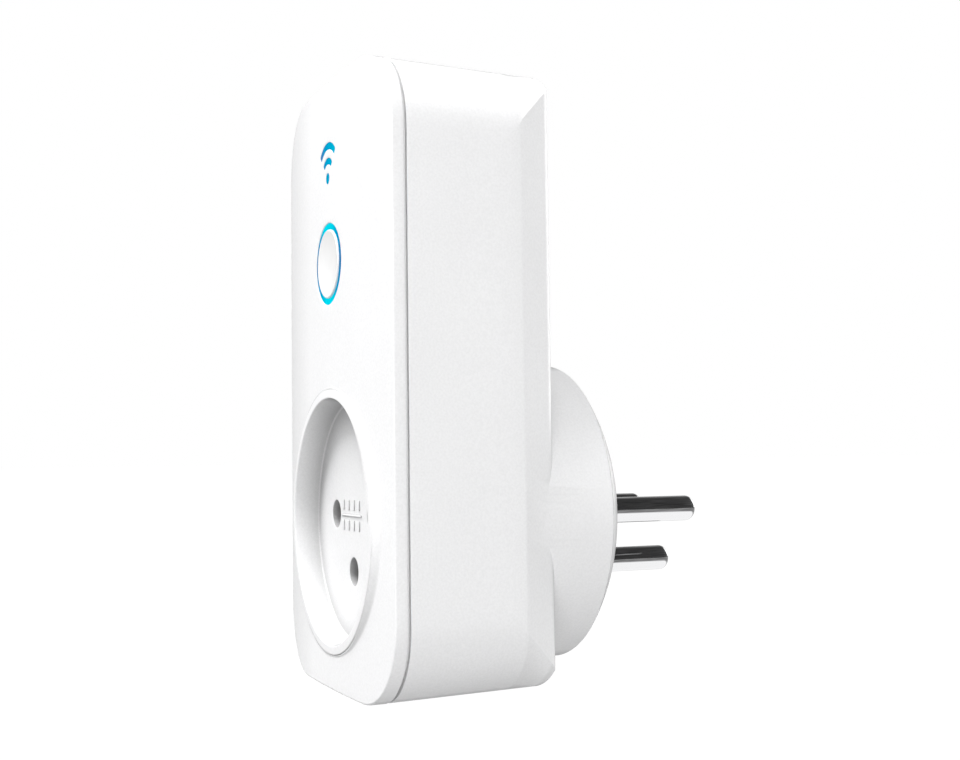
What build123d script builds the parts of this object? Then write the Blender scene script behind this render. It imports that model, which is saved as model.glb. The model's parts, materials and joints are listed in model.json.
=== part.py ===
from build123d import *
import math
import os

# A smart plug for round-pin wall outlets. Millimetres, +Z up.
# The origin is on the wall face, midway between the line and neutral pins.
# +Y points into the wall, the front faces -Y, and +X is on the right of someone facing the front.

# Outlet pattern: three round pins, and the same pattern as holes in the socket well
PIN_R = 2.25
PIN_LENGTH = 19.0
PIN_TIP_ROUND = 1.5
PIN_X = 9.5
EARTH_Z = -9.5
PIN_PLACES = {"line": (PIN_X, 0.0), "neutral": (-PIN_X, 0.0), "earth": (0.0, EARTH_Z)}
HOLE_R = 2.4

# Outer shape
WIDTH = 57.2
HEIGHT = 103.2
CENTRE_Z = 22.7
CORNER_R = 13.0
FRONT_EDGE_Y = -45.0
CROWN = 1.4
COVER_SIDE = 2.0
SHADOW_GAP = 0.5
BACK_Y = -16.0
DRAFT_DEG = 1.2
BEVEL_INSET = 3.4
BEVEL_DEPTH = 6.9
BEVEL_START_ROUND = 1.7
BEVEL_END_ROUND = 3.0
EDGE_ROUND = 0.7
WALL = 2.0
PLATE = 1.8

# Cover and housing joint
TONGUE_SET_IN = 0.8
TONGUE_WALL = 1.2
TONGUE_DEPTH = 2.4
SLIP = 0.1
HOOK_X = 12.0
HOOK_HALF = 3.0
HOOK_TIP_Y = -37.6
HOOK_Z = (-26.5, -25.3)
HOOK_LIP = (0.8, 0.9)
BOSS_ROOT_Y = -45.0
BOSS_BLIND_Y = -43.0

# Collar and its end
COLLAR_R = 25.9
COLLAR_END_Y = -6.15
COLLAR_BORE_R = 23.9
CARRIER_FLAT_R = 13.5
CARRIER_DOME_MIDDLE = (20.3, -2.35)
CARRIER_PLATE = 4.0
SPIGOT_DEPTH = 3.0
SPIGOT_WALL = 2.0
PIN_BOSS_R = 4.5
PIN_BOSS_Y = -12.2
PIN_NECK_R = 2.0
PIN_TAIL_R = 1.2
PIN_RIB_R = 2.9
PIN_RIB_Y = (-8.0, -6.0)
PIN_RELIEF = 0.3
LUG_Y = (-15.5, -13.6)
LUG_HALF = 3.4

# Socket well
WELL_Z = -0.8
LIP_Y = -46.68
LIP_R = 20.75
RIM_R = 22.25
RIM_FLARE = [(22.2, -46.45), (22.4, -46.45), (23.6, -45.35), (23.6, -44.0), (22.2, -44.0)]
FLOOR_R = 20.2
FLOOR_Y = -42.2
FLOOR_PLATE = 2.0
SLEEVE_R = 4.2
SLEEVE_END_Y = -37.0
FLANGE_R = 24.4
FLANGE_Y = -43.1
FLANGE = 1.1
MARK_RISE = 0.25
MARK_HALF = 5.4
MARK_X = -0.9
MARK_STROKE = 0.3
RIDGE_X = (-4.2, -1.4, 1.4, 4.2)
RIDGE_Z = (0.9, -2.6)
RIDGE_HEIGHT = 1.7

# Button, ring and wireless sign
BUTTON_Z = 42.9
CAP_R = 5.9
RING_BORE_R = 6.0
RING_R = 6.95
CAP_FRONT_Y = -46.53
SIGN_Z = 57.6
SIGN_DOT_R = 0.95
SIGN_ARCS = ((3.0, 1.05), (5.6, 1.15))
SIGN_HALF_ANGLE = 45.0

# Boards
BOARD = 1.6
MAIN_BOARD_Y = -21.6
CONTROL_BOARD_Y = -40.2
BOARD_Z = (25.5, 62.5)
MAIN_SCREWS = [(x, z) for x in (-18.5, 18.5) for z in (30.5, 58.0)]
CONTROL_SCREWS = [(x, z) for x in (-17.5, 17.5) for z in (31.0, 58.0)]
CASE_SCREWS = [(x, 67.2) for x in (-14.0, 14.0)]
CARRIER_SCREWS = [(x, z) for x in (-17.0, 17.0) for z in (-11.0, 11.0)]
CLIP_SCREWS = [(x, WELL_Z) for x in (-17.5, 17.5)]

# Contact clips and copper straps
STRIP = 0.8
CLIP_R = 3.1
CLIP_BORE_R = 2.32
CLIP_FRONT_Y = -36.4
CLIP_BASE_Y = -22.4
STRAP_BEND_Z = 20.4
STRAP_TOP_Z = 29.5
STRAP_HALF = 2.5
CLIP_TAIL_Z = 29.0

# Board screws, screw pilots and header between the boards
SCREW_PILOT_R = 0.92
CASE_PILOT_R = 1.22
HEADER_PLACES = [(x, 29.5) for x in (-3.81, -1.27, 1.27, 3.81)]
HEADER_PIN_HALF = 0.32

# Relay: a coil on an upright core, a hinged armature and one pair of contacts
RELAY_X = (1.5, 17.5)
RELAY_Z = (33.0, 52.5)
RELAY_FLOOR_Y = -23.0
RELAY_TOP_Y = -37.1
RELAY_WALL = 0.8
COIL_X = 9.5
COIL_Y = -27.5
COIL_Z = (35.2, 47.0)
YOKE_X = (6.5, 12.5)
YOKE_Z = 34.0
PIVOT_Y = -32.7
PIVOT_Z = 48.9
POLE_TOP_Z = 48.3
CONTACT_R = 1.1

# Parts on the main board; all of them stand on its front face
COMPONENT_FRONT_Y = -33.6
CAPACITOR_X = (-22.0, -9.0)
CAPACITOR_Z = (33.2, 39.0)
CAN_PLACES = [(-17.9, 43.6), (-9.0, 43.6)]
CAN_R = 4.0
INDUCTOR_X = (-14.0, -5.0)
INDUCTOR_Z = (49.5, 58.5)
INDUCTOR_FRONT_Y = -30.6
UPPER_ROW_Z = 57.8


def block(x, y, z):
    """A box from three (low, high) pairs."""
    size = [high - low for low, high in (x, y, z)]
    centre = [(high + low) / 2 for low, high in (x, y, z)]
    return Pos(*centre) * Box(*size)


def rod(radius, y_low, y_high, place=(0.0, 0.0)):
    """A cylinder along Y at place = (x, z)."""
    middle = (y_low + y_high) / 2
    return Pos(place[0], middle, place[1]) * Rot(90, 0, 0) * Cylinder(radius, y_high - y_low)


def prism(sketch, y_low, y_high, taper=0.0):
    """A flat shape, drawn with +X right and +Z up, carried along Y from y_low to y_high."""
    plane = Plane(origin=(0, y_low, 0), x_dir=(1, 0, 0), z_dir=(0, -1, 0))
    if taper:
        plane = Plane(origin=(0, y_low, 0), x_dir=(-1, 0, 0), z_dir=(0, 1, 0))
    return extrude(plane * sketch, amount=(y_high - y_low) * (1 if taper else -1), taper=taper)


def turned(outline, place=(0.0, 0.0)):
    """A closed outline of (radius, y) lines, turned about the Y axis at place = (x, z)."""
    profile = make_face(outline)
    return Pos(place[0], 0, place[1]) * revolve(profile, axis=Axis.Y)


def turned_points(points, place=(0.0, 0.0)):
    return turned(Polyline(*points, close=True), place)


def body_outline(inset, y=FRONT_EDGE_Y):
    """The rounded outline of the body at depth y, moved in by inset."""
    shrink = inset + (y - FRONT_EDGE_Y) * math.tan(math.radians(DRAFT_DEG))
    shape = RectangleRounded(WIDTH - 2 * shrink, HEIGHT - 2 * shrink, CORNER_R - inset)
    return Pos(0, CENTRE_Z) * shape


def crowned_slab(y_edge, y_back):
    """A slab whose front is arched across the width and meets y_edge at the body's sides."""
    radius = ((WIDTH / 2) ** 2 + CROWN**2) / (2 * CROWN)
    peak_y = y_edge - CROWN
    arch = Pos(0, peak_y + radius, CENTRE_Z) * Cylinder(radius, HEIGHT + 20)
    return arch & block((-WIDTH, WIDTH), (peak_y - 1, y_back), (CENTRE_Z - HEIGHT, CENTRE_Z + HEIGHT))


def side_bevels(inset):
    """Top view of the housing: straight sides, then long bevels that round into the back."""
    half = WIDTH / 2 - inset
    slope = math.tan(math.radians(DRAFT_DEG))
    bevel_y = BACK_Y - BEVEL_DEPTH - 0.3 * inset
    back_y = BACK_Y - inset
    bevel_half = half - (bevel_y - FRONT_EDGE_Y) * slope
    back_half = bevel_half - BEVEL_INSET
    right = [(half, FRONT_EDGE_Y), (bevel_half, bevel_y), (back_half, back_y)]
    left = [(-x, y) for x, y in reversed(right)]
    sheet = make_face(Polyline(*right, *left, close=True))
    bevel_starts = [v for v in sheet.vertices() if abs(v.Y - bevel_y) < 0.01]
    sheet = fillet(bevel_starts, BEVEL_START_ROUND)
    bevel_ends = [v for v in sheet.vertices() if abs(v.Y - back_y) < 0.01]
    sheet = fillet(bevel_ends, BEVEL_END_ROUND - inset)
    return Pos(0, 0, CENTRE_Z) * extrude(sheet, amount=HEIGHT, both=True)


def sign_shapes(grow=0.0):
    """The wireless sign: a dot and two arcs above it, as a flat sketch."""
    reach = 20.0
    side = reach * math.tan(math.radians(SIGN_HALF_ANGLE))
    wedge = make_face(Polyline((0, 0), (side, reach), (-side, reach), close=True))
    shapes = [Circle(SIGN_DOT_R + grow)]
    for radius, stroke in SIGN_ARCS:
        ring = Circle(radius + stroke / 2 + grow) - Circle(radius - stroke / 2 - grow)
        shapes.append(ring & offset(wedge, grow) if grow else ring & wedge)
    return [Pos(0, SIGN_Z) * shape for shape in shapes]


def cross_screws(places, head_r, head, shank_r, shank, y_head, direction):
    """Cross-head screws along Y: head from y_head, shank beyond it in the given direction."""
    screws = []
    for place in places:
        y_mid = y_head + direction * head
        y_end = y_mid + direction * shank
        top = rod(head_r, *sorted((y_head, y_mid)), place)
        stem = rod(shank_r, *sorted((y_mid, y_end)), place)
        slot_y = sorted((y_head, y_head + direction * head * 0.5))
        cross = block((-head_r * 0.6, head_r * 0.6), slot_y, (-0.25, 0.25))
        cross += block((-0.25, 0.25), slot_y, (-head_r * 0.6, head_r * 0.6))
        screws.append(top + stem - Pos(place[0], 0, place[1]) * cross)
    return screws


def front_cover():
    tongue_y = FRONT_EDGE_Y + COVER_SIDE
    plate_back = FRONT_EDGE_Y + PLATE
    cover = crowned_slab(FRONT_EDGE_Y, tongue_y) & prism(body_outline(0), -50, tongue_y)
    inner = TONGUE_SET_IN + TONGUE_WALL
    cover -= crowned_slab(plate_back, -30) & prism(body_outline(inner), -50, -30)
    tongue = prism(body_outline(TONGUE_SET_IN), tongue_y, tongue_y + TONGUE_DEPTH)
    cover += tongue - prism(body_outline(inner), -50, -30)
    for place in CONTROL_SCREWS:
        cover += rod(2.4, BOSS_ROOT_Y, CONTROL_BOARD_Y, place)
        cover -= rod(SCREW_PILOT_R, BOSS_BLIND_Y, CONTROL_BOARD_Y, place)
    for place in CASE_SCREWS:
        cover += rod(2.8, BOSS_ROOT_Y, -27.7, place)
        cover -= rod(CASE_PILOT_R, -39.0, -27.7, place)
    cover += hooks()
    cover += turned_points(RIM_FLARE, (0, WELL_Z))
    cover -= rod(RIM_R + 0.05, -50, -40, (0, WELL_Z))
    cover -= rod(RING_R + 0.05, -50, -40, (0, BUTTON_Z))
    for shape in sign_shapes(0.03):
        cover -= prism(shape, -50, -43)
    return cover


def hooks():
    """Two snap hooks inside the cover's bottom edge."""
    thick, rise = HOOK_LIP
    pair = Part()
    for x in (-HOOK_X, HOOK_X):
        span = (x - HOOK_HALF, x + HOOK_HALF)
        pair += block(span, (BOSS_ROOT_Y, HOOK_TIP_Y), HOOK_Z)
        pair += block(span, (HOOK_TIP_Y - thick, HOOK_TIP_Y), (HOOK_Z[0] - rise, HOOK_Z[0] + 0.5))
    return pair


def socket_well():
    floor_back = FLOOR_Y + FLOOR_PLATE
    outline = [
        (0, FLOOR_Y), (FLOOR_R, FLOOR_Y), (LIP_R, LIP_Y + 0.25), (LIP_R + 0.25, LIP_Y),
        (RIM_R - 0.25, LIP_Y + 0.07), (RIM_R, LIP_Y + 0.3), (RIM_R, FLANGE_Y), (FLANGE_R, FLANGE_Y),
        (FLANGE_R, FLANGE_Y + FLANGE), (RIM_R, FLANGE_Y + FLANGE), (RIM_R, floor_back), (0, floor_back),
    ]
    well = turned_points(outline, (0, WELL_Z))
    for place in PIN_PLACES.values():
        well += rod(SLEEVE_R, floor_back, SLEEVE_END_Y, place)
    for place in CLIP_SCREWS:
        well += rod(2.6, floor_back, -36.0, place)
        well -= rod(1.02, -40.8, -36.0, place)
    for place in PIN_PLACES.values():
        well -= rod(HOLE_R, FLOOR_Y, SLEEVE_END_Y, place)
    return well + floor_mark()


def floor_mark():
    """A plain raised divider with a row of short ridges above and below it on the well floor."""
    rise = (FLOOR_Y - MARK_RISE, FLOOR_Y + 0.05)
    half_stroke = MARK_STROKE / 2
    mark = block((-MARK_HALF, MARK_HALF), rise, (-half_stroke, half_stroke))
    for x in RIDGE_X:
        for low_z in RIDGE_Z:
            mark += block((x - MARK_STROKE, x + MARK_STROKE), rise, (low_z, low_z + RIDGE_HEIGHT))
    return Pos(MARK_X, 0, 0) * mark


def rear_housing():
    front_y = FRONT_EDGE_Y + COVER_SIDE + SHADOW_GAP
    shell = prism(body_outline(0, front_y), front_y, BACK_Y, DRAFT_DEG)
    level_rims = [e for e in shell.edges().filter_by(Axis.X) if abs(e.center().Y - BACK_Y) < 0.01]
    shell = fillet(level_rims, EDGE_ROUND) & side_bevels(0)
    shell += rod(COLLAR_R, BACK_Y - BEVEL_DEPTH + 1, COLLAR_END_Y)
    cavity = prism(body_outline(WALL, front_y), front_y, BACK_Y - WALL, DRAFT_DEG) & side_bevels(WALL)
    shell -= cavity
    shell -= rod(COLLAR_BORE_R, BACK_Y - WALL - 0.5, COLLAR_END_Y)
    rebate_y = FRONT_EDGE_Y + COVER_SIDE + TONGUE_DEPTH + 0.2
    shell -= prism(body_outline(TONGUE_SET_IN - SLIP), front_y, rebate_y)
    shell -= hook_pockets()
    shell += carrier_lugs() + board_bosses()
    return screw_wells(shell)


def hook_pockets():
    """Two pockets in the bottom wall that the cover's hooks snap into."""
    reach = HOOK_HALF + 0.2
    pockets = Part()
    for x in (-HOOK_X, HOOK_X):
        pockets += block((x - reach, x + reach), (HOOK_TIP_Y - 1.0, HOOK_TIP_Y + 0.3), (-27.7, -26.0))
    return pockets


def carrier_lugs():
    """Four lugs in the collar's bore that the carrier's screws pass through."""
    lugs = Part()
    ring = rod(COLLAR_BORE_R + 0.5, *LUG_Y)
    for x, z in CARRIER_SCREWS:
        reach_x = (x - LUG_HALF, x + 8) if x > 0 else (x - 8, x + LUG_HALF)
        lug = ring & block(reach_x, LUG_Y, (z - LUG_HALF, z + LUG_HALF))
        lugs += lug - rod(1.35, LUG_Y[0] - 1, LUG_Y[1] + 1, (x, z))
    return lugs


def board_bosses():
    bosses = Part()
    for place in MAIN_SCREWS:
        bosses += rod(2.7, MAIN_BOARD_Y + BOARD, BACK_Y - WALL, place)
    return bosses


def screw_wells(shell):
    """Deep recesses for the case screws, and pilot holes in the board bosses."""
    floor_y = -26.0
    boss_end_y = floor_y - 1.6
    for place in CASE_SCREWS:
        shell += rod(4.0, boss_end_y, BACK_Y - WALL, place)
        shell -= rod(2.8, floor_y, BACK_Y, place)
        shell -= rod(1.35, boss_end_y - 0.4, floor_y + 1.0, place)
    for place in MAIN_SCREWS:
        shell -= rod(SCREW_PILOT_R, MAIN_BOARD_Y, BACK_Y - WALL + 0.8, place)
    return shell


def contact_pin(place):
    wall_end = PIN_LENGTH - PIN_TIP_ROUND
    flat_r = PIN_R - PIN_TIP_ROUND
    lean = PIN_TIP_ROUND * math.sqrt(0.5)
    tip = ThreePointArc((PIN_R, wall_end), (flat_r + lean, wall_end + lean), (flat_r, PIN_LENGTH))
    rest = Polyline(
        (flat_r, PIN_LENGTH), (0, PIN_LENGTH), (0, PIN_BOSS_Y - 1.0), (PIN_TAIL_R, PIN_BOSS_Y - 1.0),
        (PIN_TAIL_R, PIN_BOSS_Y), (PIN_NECK_R, PIN_BOSS_Y), (PIN_NECK_R, PIN_RIB_Y[0]),
        (PIN_RIB_R, PIN_RIB_Y[0]), (PIN_RIB_R, PIN_RIB_Y[1]), (PIN_NECK_R, PIN_RIB_Y[1]),
        (PIN_NECK_R, 0), (PIN_R, 0), (PIN_R, wall_end),
    )
    return turned([tip, rest], place)


def pin_carrier():
    seat_y = COLLAR_END_Y + 0.05
    spigot_r = COLLAR_BORE_R - SLIP
    boss_end_y = -CARRIER_PLATE - 0.6
    dome = ThreePointArc((CARRIER_FLAT_R, 0), CARRIER_DOME_MIDDLE, (COLLAR_R - 0.05, seat_y))
    rest = Polyline(
        (COLLAR_R - 0.05, seat_y), (spigot_r, seat_y), (spigot_r, seat_y - SPIGOT_DEPTH),
        (spigot_r - SPIGOT_WALL, seat_y - SPIGOT_DEPTH), (spigot_r - SPIGOT_WALL, -CARRIER_PLATE - 2.0),
        (CARRIER_FLAT_R, -CARRIER_PLATE), (0, -CARRIER_PLATE), (0, 0), (CARRIER_FLAT_R, 0),
    )
    carrier = turned([dome, rest])
    for place in PIN_PLACES.values():
        carrier += rod(PIN_BOSS_R, PIN_BOSS_Y, -CARRIER_PLATE + 0.5, place)
    for place in CARRIER_SCREWS:
        carrier += rod(2.6, LUG_Y[1] + 0.05, boss_end_y, place)
        carrier -= rod(CASE_PILOT_R, LUG_Y[1] + 0.05, boss_end_y - 0.9, place)
    for place in PIN_PLACES.values():
        carrier -= contact_pin(place)
        carrier -= rod(PIN_R + 0.12, -PIN_RELIEF, 0, place)
    return carrier


def light_ring():
    outline = [
        (RING_BORE_R, -46.2), (RING_BORE_R + 0.12, -46.32), (RING_R - 0.05, -46.32), (RING_R, -46.27),
        (RING_R, -44.2), (8.6, -44.2), (8.6, -43.2), (8.0, -43.2), (8.0, -41.2),
        (6.75, -41.2), (6.75, -44.0), (RING_BORE_R, -44.0),
    ]
    return turned_points(outline, (0, BUTTON_Z))


def button_cap():
    dish = ThreePointArc((0, -46.0), (2.7, -46.1), (5.2, -46.45))
    lip = ThreePointArc((5.2, -46.45), (5.5, CAP_FRONT_Y), (5.8, -46.4))
    rest = Polyline(
        (5.8, -46.4), (CAP_R, -46.2), (CAP_R, -43.95), (6.6, -43.95), (6.6, -43.2),
        (4.9, -43.2), (4.9, -44.9), (1.5, -44.9), (1.5, -43.45), (0, -43.45), (0, -46.0),
    )
    return turned([dish, lip, rest], (0, BUTTON_Z))


def signal_light_guide():
    guide = block((-8, 8), (-44.4, -43.4), (SIGN_Z - 3, SIGN_Z + 7.6))
    front = crowned_slab(FRONT_EDGE_Y + 0.02, -40)
    for shape in sign_shapes():
        guide += prism(shape, -48, -44.2) & front
    return guide + block((-1.2, 1.2), (-43.5, -41.2), (58.9, 61.1))


def contact_clip(place, tail_top):
    """A slotted sleeve on a square base, with a tail up to the main board where it has one."""
    x, z = place
    base_back = CLIP_BASE_Y + STRIP
    clip = rod(CLIP_R, CLIP_FRONT_Y, CLIP_BASE_Y, place)
    clip -= rod(CLIP_BORE_R, CLIP_FRONT_Y, CLIP_BASE_Y, place)
    clip -= block((x - 0.4, x + 0.4), (CLIP_FRONT_Y, -26.0), (z - 4, z + 4))
    clip += block((x - 3.4, x + 3.4), (CLIP_BASE_Y, base_back), (z - 3.4, z + 3.4))
    if tail_top:
        clip += block((x - 2, x + 2), (CLIP_BASE_Y, base_back), (z, tail_top))
    return clip


def contact_carrier():
    body = block((-14.5, 14.5), (-36.0, -24.5), (-14.6, 5.4))
    body += block((-20.6, 20.6), (-36.0, -33.5), (WELL_Z - 3.2, WELL_Z + 3.2))
    for place in PIN_PLACES.values():
        body -= rod(CLIP_R + SLIP, -37, -24, place)
    for place in CLIP_SCREWS:
        body -= rod(1.3, -37, -33, place)
    return body


def power_strap(place):
    """From a pin's inner end up through the collar to the back of the main board."""
    x, z = place
    low_y = PIN_BOSS_Y - STRIP
    board_y = MAIN_BOARD_Y + BOARD
    step_z = STRAP_BEND_Z - STRIP
    span = (x - STRAP_HALF, x + STRAP_HALF)
    strap = block(span, (low_y, PIN_BOSS_Y), (z - 3, STRAP_BEND_Z))
    strap += block(span, (board_y, PIN_BOSS_Y), (step_z, STRAP_BEND_Z))
    strap += block(span, (board_y, board_y + STRIP), (step_z, STRAP_TOP_Z))
    return strap - rod(PIN_TAIL_R + 0.02, low_y - 1, PIN_BOSS_Y + 1, place)


def earth_strap():
    """From the earth pin's inner end, under the contacts, to the earth clip's base."""
    low_y = PIN_BOSS_Y - STRIP
    clip_y = CLIP_BASE_Y + STRIP
    foot_z = EARTH_Z - 7.0
    span = (-STRAP_HALF, STRAP_HALF)
    strap = block(span, (low_y, PIN_BOSS_Y), (foot_z, EARTH_Z + 3))
    strap += block(span, (clip_y, PIN_BOSS_Y), (foot_z - STRIP, foot_z))
    strap += block(span, (clip_y, clip_y + STRIP), (foot_z, EARTH_Z + 3))
    return strap - rod(PIN_TAIL_R + 0.02, low_y - 1, PIN_BOSS_Y + 1, (0, EARTH_Z))


def board(half_width, y, screw_places):
    middle_z = (BOARD_Z[0] + BOARD_Z[1]) / 2
    outline = Pos(0, middle_z) * RectangleRounded(2 * half_width, BOARD_Z[1] - BOARD_Z[0], 2.5)
    plate = prism(outline, y, y + BOARD)
    for place in screw_places:
        plate -= rod(1.1, y - 1, y + BOARD + 1, place)
    for place in HEADER_PLACES:
        plate -= rod(0.5, y - 1, y + BOARD + 1, place)
    return plate


def header_pins():
    half = HEADER_PIN_HALF
    reach = (CONTROL_BOARD_Y - 0.8, MAIN_BOARD_Y + 2.0)
    return [block((x - half, x + half), reach, (z - half, z + half)) for x, z in HEADER_PLACES]


def header_block():
    body = block((-5.1, 5.1), (-24.1, MAIN_BOARD_Y), (28.2, 30.8))
    half = HEADER_PIN_HALF + 0.01
    for x, z in HEADER_PLACES:
        body -= block((x - half, x + half), (-25, -21), (z - half, z + half))
    return body


def insulation_sheet():
    outline = Pos(0, 44.0) * RectangleRounded(43, 34, 2)
    sheet = prism(outline, -18.9, -18.6)
    for place in MAIN_SCREWS:
        sheet -= rod(2.9, -19.5, -18, place)
    return sheet


def upright_rod(radius, x, y, z_low, z_high):
    return Pos(x, y, (z_low + z_high) / 2) * Cylinder(radius, z_high - z_low)


def relay_base():
    return block(RELAY_X, (RELAY_FLOOR_Y, MAIN_BOARD_Y), RELAY_Z)


def relay_case():
    inner_x = (RELAY_X[0] + RELAY_WALL, RELAY_X[1] - RELAY_WALL)
    inner_z = (RELAY_Z[0] + RELAY_WALL, RELAY_Z[1] - RELAY_WALL)
    case = block(RELAY_X, (RELAY_TOP_Y, RELAY_FLOOR_Y), RELAY_Z)
    return case - block(inner_x, (RELAY_TOP_Y + RELAY_WALL, RELAY_FLOOR_Y), inner_z)


def relay_coil():
    low, high = COIL_Z
    flange = 0.8
    coil = upright_rod(3.6, COIL_X, COIL_Y, low, high)
    coil += upright_rod(4.2, COIL_X, COIL_Y, low, low + flange)
    coil += upright_rod(4.2, COIL_X, COIL_Y, high - flange, high)
    return coil - upright_rod(1.55, COIL_X, COIL_Y, low - 0.2, high + 0.2)


def relay_yoke():
    """Core, pole, foot plate and return leg of the relay's magnet."""
    leg_y = (PIVOT_Y - 0.5, PIVOT_Y + 0.5)
    yoke = upright_rod(1.5, COIL_X, COIL_Y, YOKE_Z + 0.6, COIL_Z[1] + 0.6)
    yoke += upright_rod(2.6, COIL_X, COIL_Y, COIL_Z[1] + 0.2, POLE_TOP_Z)
    yoke += block(YOKE_X, (leg_y[0], -24.0), (YOKE_Z, YOKE_Z + 1.0))
    yoke += block(YOKE_X, leg_y, (YOKE_Z, PIVOT_Z - 0.05))
    return yoke


def relay_armature():
    """Hinged plate over the pole, carrying the moving contact."""
    plate = block((3.2, 12.6), (PIVOT_Y - 0.5, -24.2), (PIVOT_Z, PIVOT_Z + 0.8))
    return plate + upright_rod(CONTACT_R, 4.5, -25.3, PIVOT_Z - 0.3, PIVOT_Z)


def relay_fixed_contact():
    post_top_z = 47.6
    post = block((3.1, 5.7), (-25.2, -24.5), (YOKE_Z, post_top_z))
    return post + upright_rod(CONTACT_R, 4.4, -25.1, post_top_z - 0.2, post_top_z + 0.45)


def film_capacitor():
    box = block(CAPACITOR_X, (COMPONENT_FRONT_Y, MAIN_BOARD_Y), CAPACITOR_Z)
    return fillet(box.edges().filter_by(Axis.Y), 0.5)


def electrolytic_capacitors():
    """Two cans with a rolled groove near the board."""
    groove_y = (MAIN_BOARD_Y - 2.3, MAIN_BOARD_Y - 1.7)
    cans = []
    for place in CAN_PLACES:
        groove = rod(CAN_R + 0.1, *groove_y, place) - rod(CAN_R - 0.3, *groove_y, place)
        cans.append(rod(CAN_R, COMPONENT_FRONT_Y, MAIN_BOARD_Y, place) - groove)
    return cans


def power_inductor():
    """A winding between two square flanges."""
    middle = (sum(INDUCTOR_X) / 2, sum(INDUCTOR_Z) / 2)
    core = rod(3.2, INDUCTOR_FRONT_Y, MAIN_BOARD_Y, middle)
    core += block(INDUCTOR_X, (INDUCTOR_FRONT_Y, INDUCTOR_FRONT_Y + 1.0), INDUCTOR_Z)
    return core + block(INDUCTOR_X, (MAIN_BOARD_Y - 1.2, MAIN_BOARD_Y), INDUCTOR_Z)


def lead(x, y_front, z):
    """A component's leg down to the main board."""
    return block((x - 0.3, x + 0.3), (y_front, MAIN_BOARD_Y), (z - 0.3, z + 0.3))


def varistor():
    disc = Pos(11.8, -27.4, UPPER_ROW_Z) * Rot(0, 90, 0) * Cylinder(4.4, 3.4)
    return disc + lead(11.8, -23.4, UPPER_ROW_Z - 2.1) + lead(11.8, -23.4, UPPER_ROW_Z + 2.1)


def fuse():
    axis_y = -24.2
    body = Pos(1.8, axis_y, UPPER_ROW_Z) * Rot(0, 90, 0) * Cylinder(2.2, 7.6)
    return body + lead(-1.3, axis_y, UPPER_ROW_Z) + lead(4.9, axis_y, UPPER_ROW_Z)


def chip(x, y, z, leg_reach, legs):
    """A flat package with a row of legs along two sides."""
    package = block(x, y, z)
    pitch = (z[1] - z[0]) / legs
    leg_x = (x[0] - leg_reach, x[1] + leg_reach)
    for index in range(legs):
        leg_z = z[0] + pitch * (index + 0.5)
        package += block(leg_x, (y[1] - 0.3, y[1]), (leg_z - 0.2, leg_z + 0.2))
    return package


def radio_module():
    back = CONTROL_BOARD_Y + BOARD
    return block((-21, -5), (back, back + 0.8), (37, 54))


def radio_shield():
    """A thin can, open towards the module."""
    seat = CONTROL_BOARD_Y + BOARD + 0.8
    sheet = 0.2
    can = block((-19.5, -6.5), (seat, seat + 2.2), (38, 49))
    return can - block((-19.5 + sheet, -6.5 - sheet), (seat, seat + 2.2 - sheet), (38 + sheet, 49 - sheet))


def switch_body():
    body = block((-3, 3), (-42.7, CONTROL_BOARD_Y), (BUTTON_Z - 3, BUTTON_Z + 3))
    body -= rod(1.8, -43, -41, (0, BUTTON_Z))
    return body - rod(2.5, -42.0, -40.6, (0, BUTTON_Z))


def switch_plunger():
    return rod(1.7, -43.4, -41.5, (0, BUTTON_Z)) + rod(2.3, -41.95, -41.45, (0, BUTTON_Z))


def switch_dome():
    bow = [(0, -41.05), (2.3, -40.75), (2.3, -40.62), (0, -40.9)]
    return turned_points(bow, (0, BUTTON_Z))


def light_chip(x, z):
    return block((x - 0.8, x + 0.8), (CONTROL_BOARD_Y - 0.8, CONTROL_BOARD_Y), (z - 0.6, z + 0.6))


def ring_leds():
    radius = 7.35
    places = [math.radians(45 + 90 * turn) for turn in range(4)]
    return [light_chip(radius * math.cos(a), BUTTON_Z + radius * math.sin(a)) for a in places]


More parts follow.
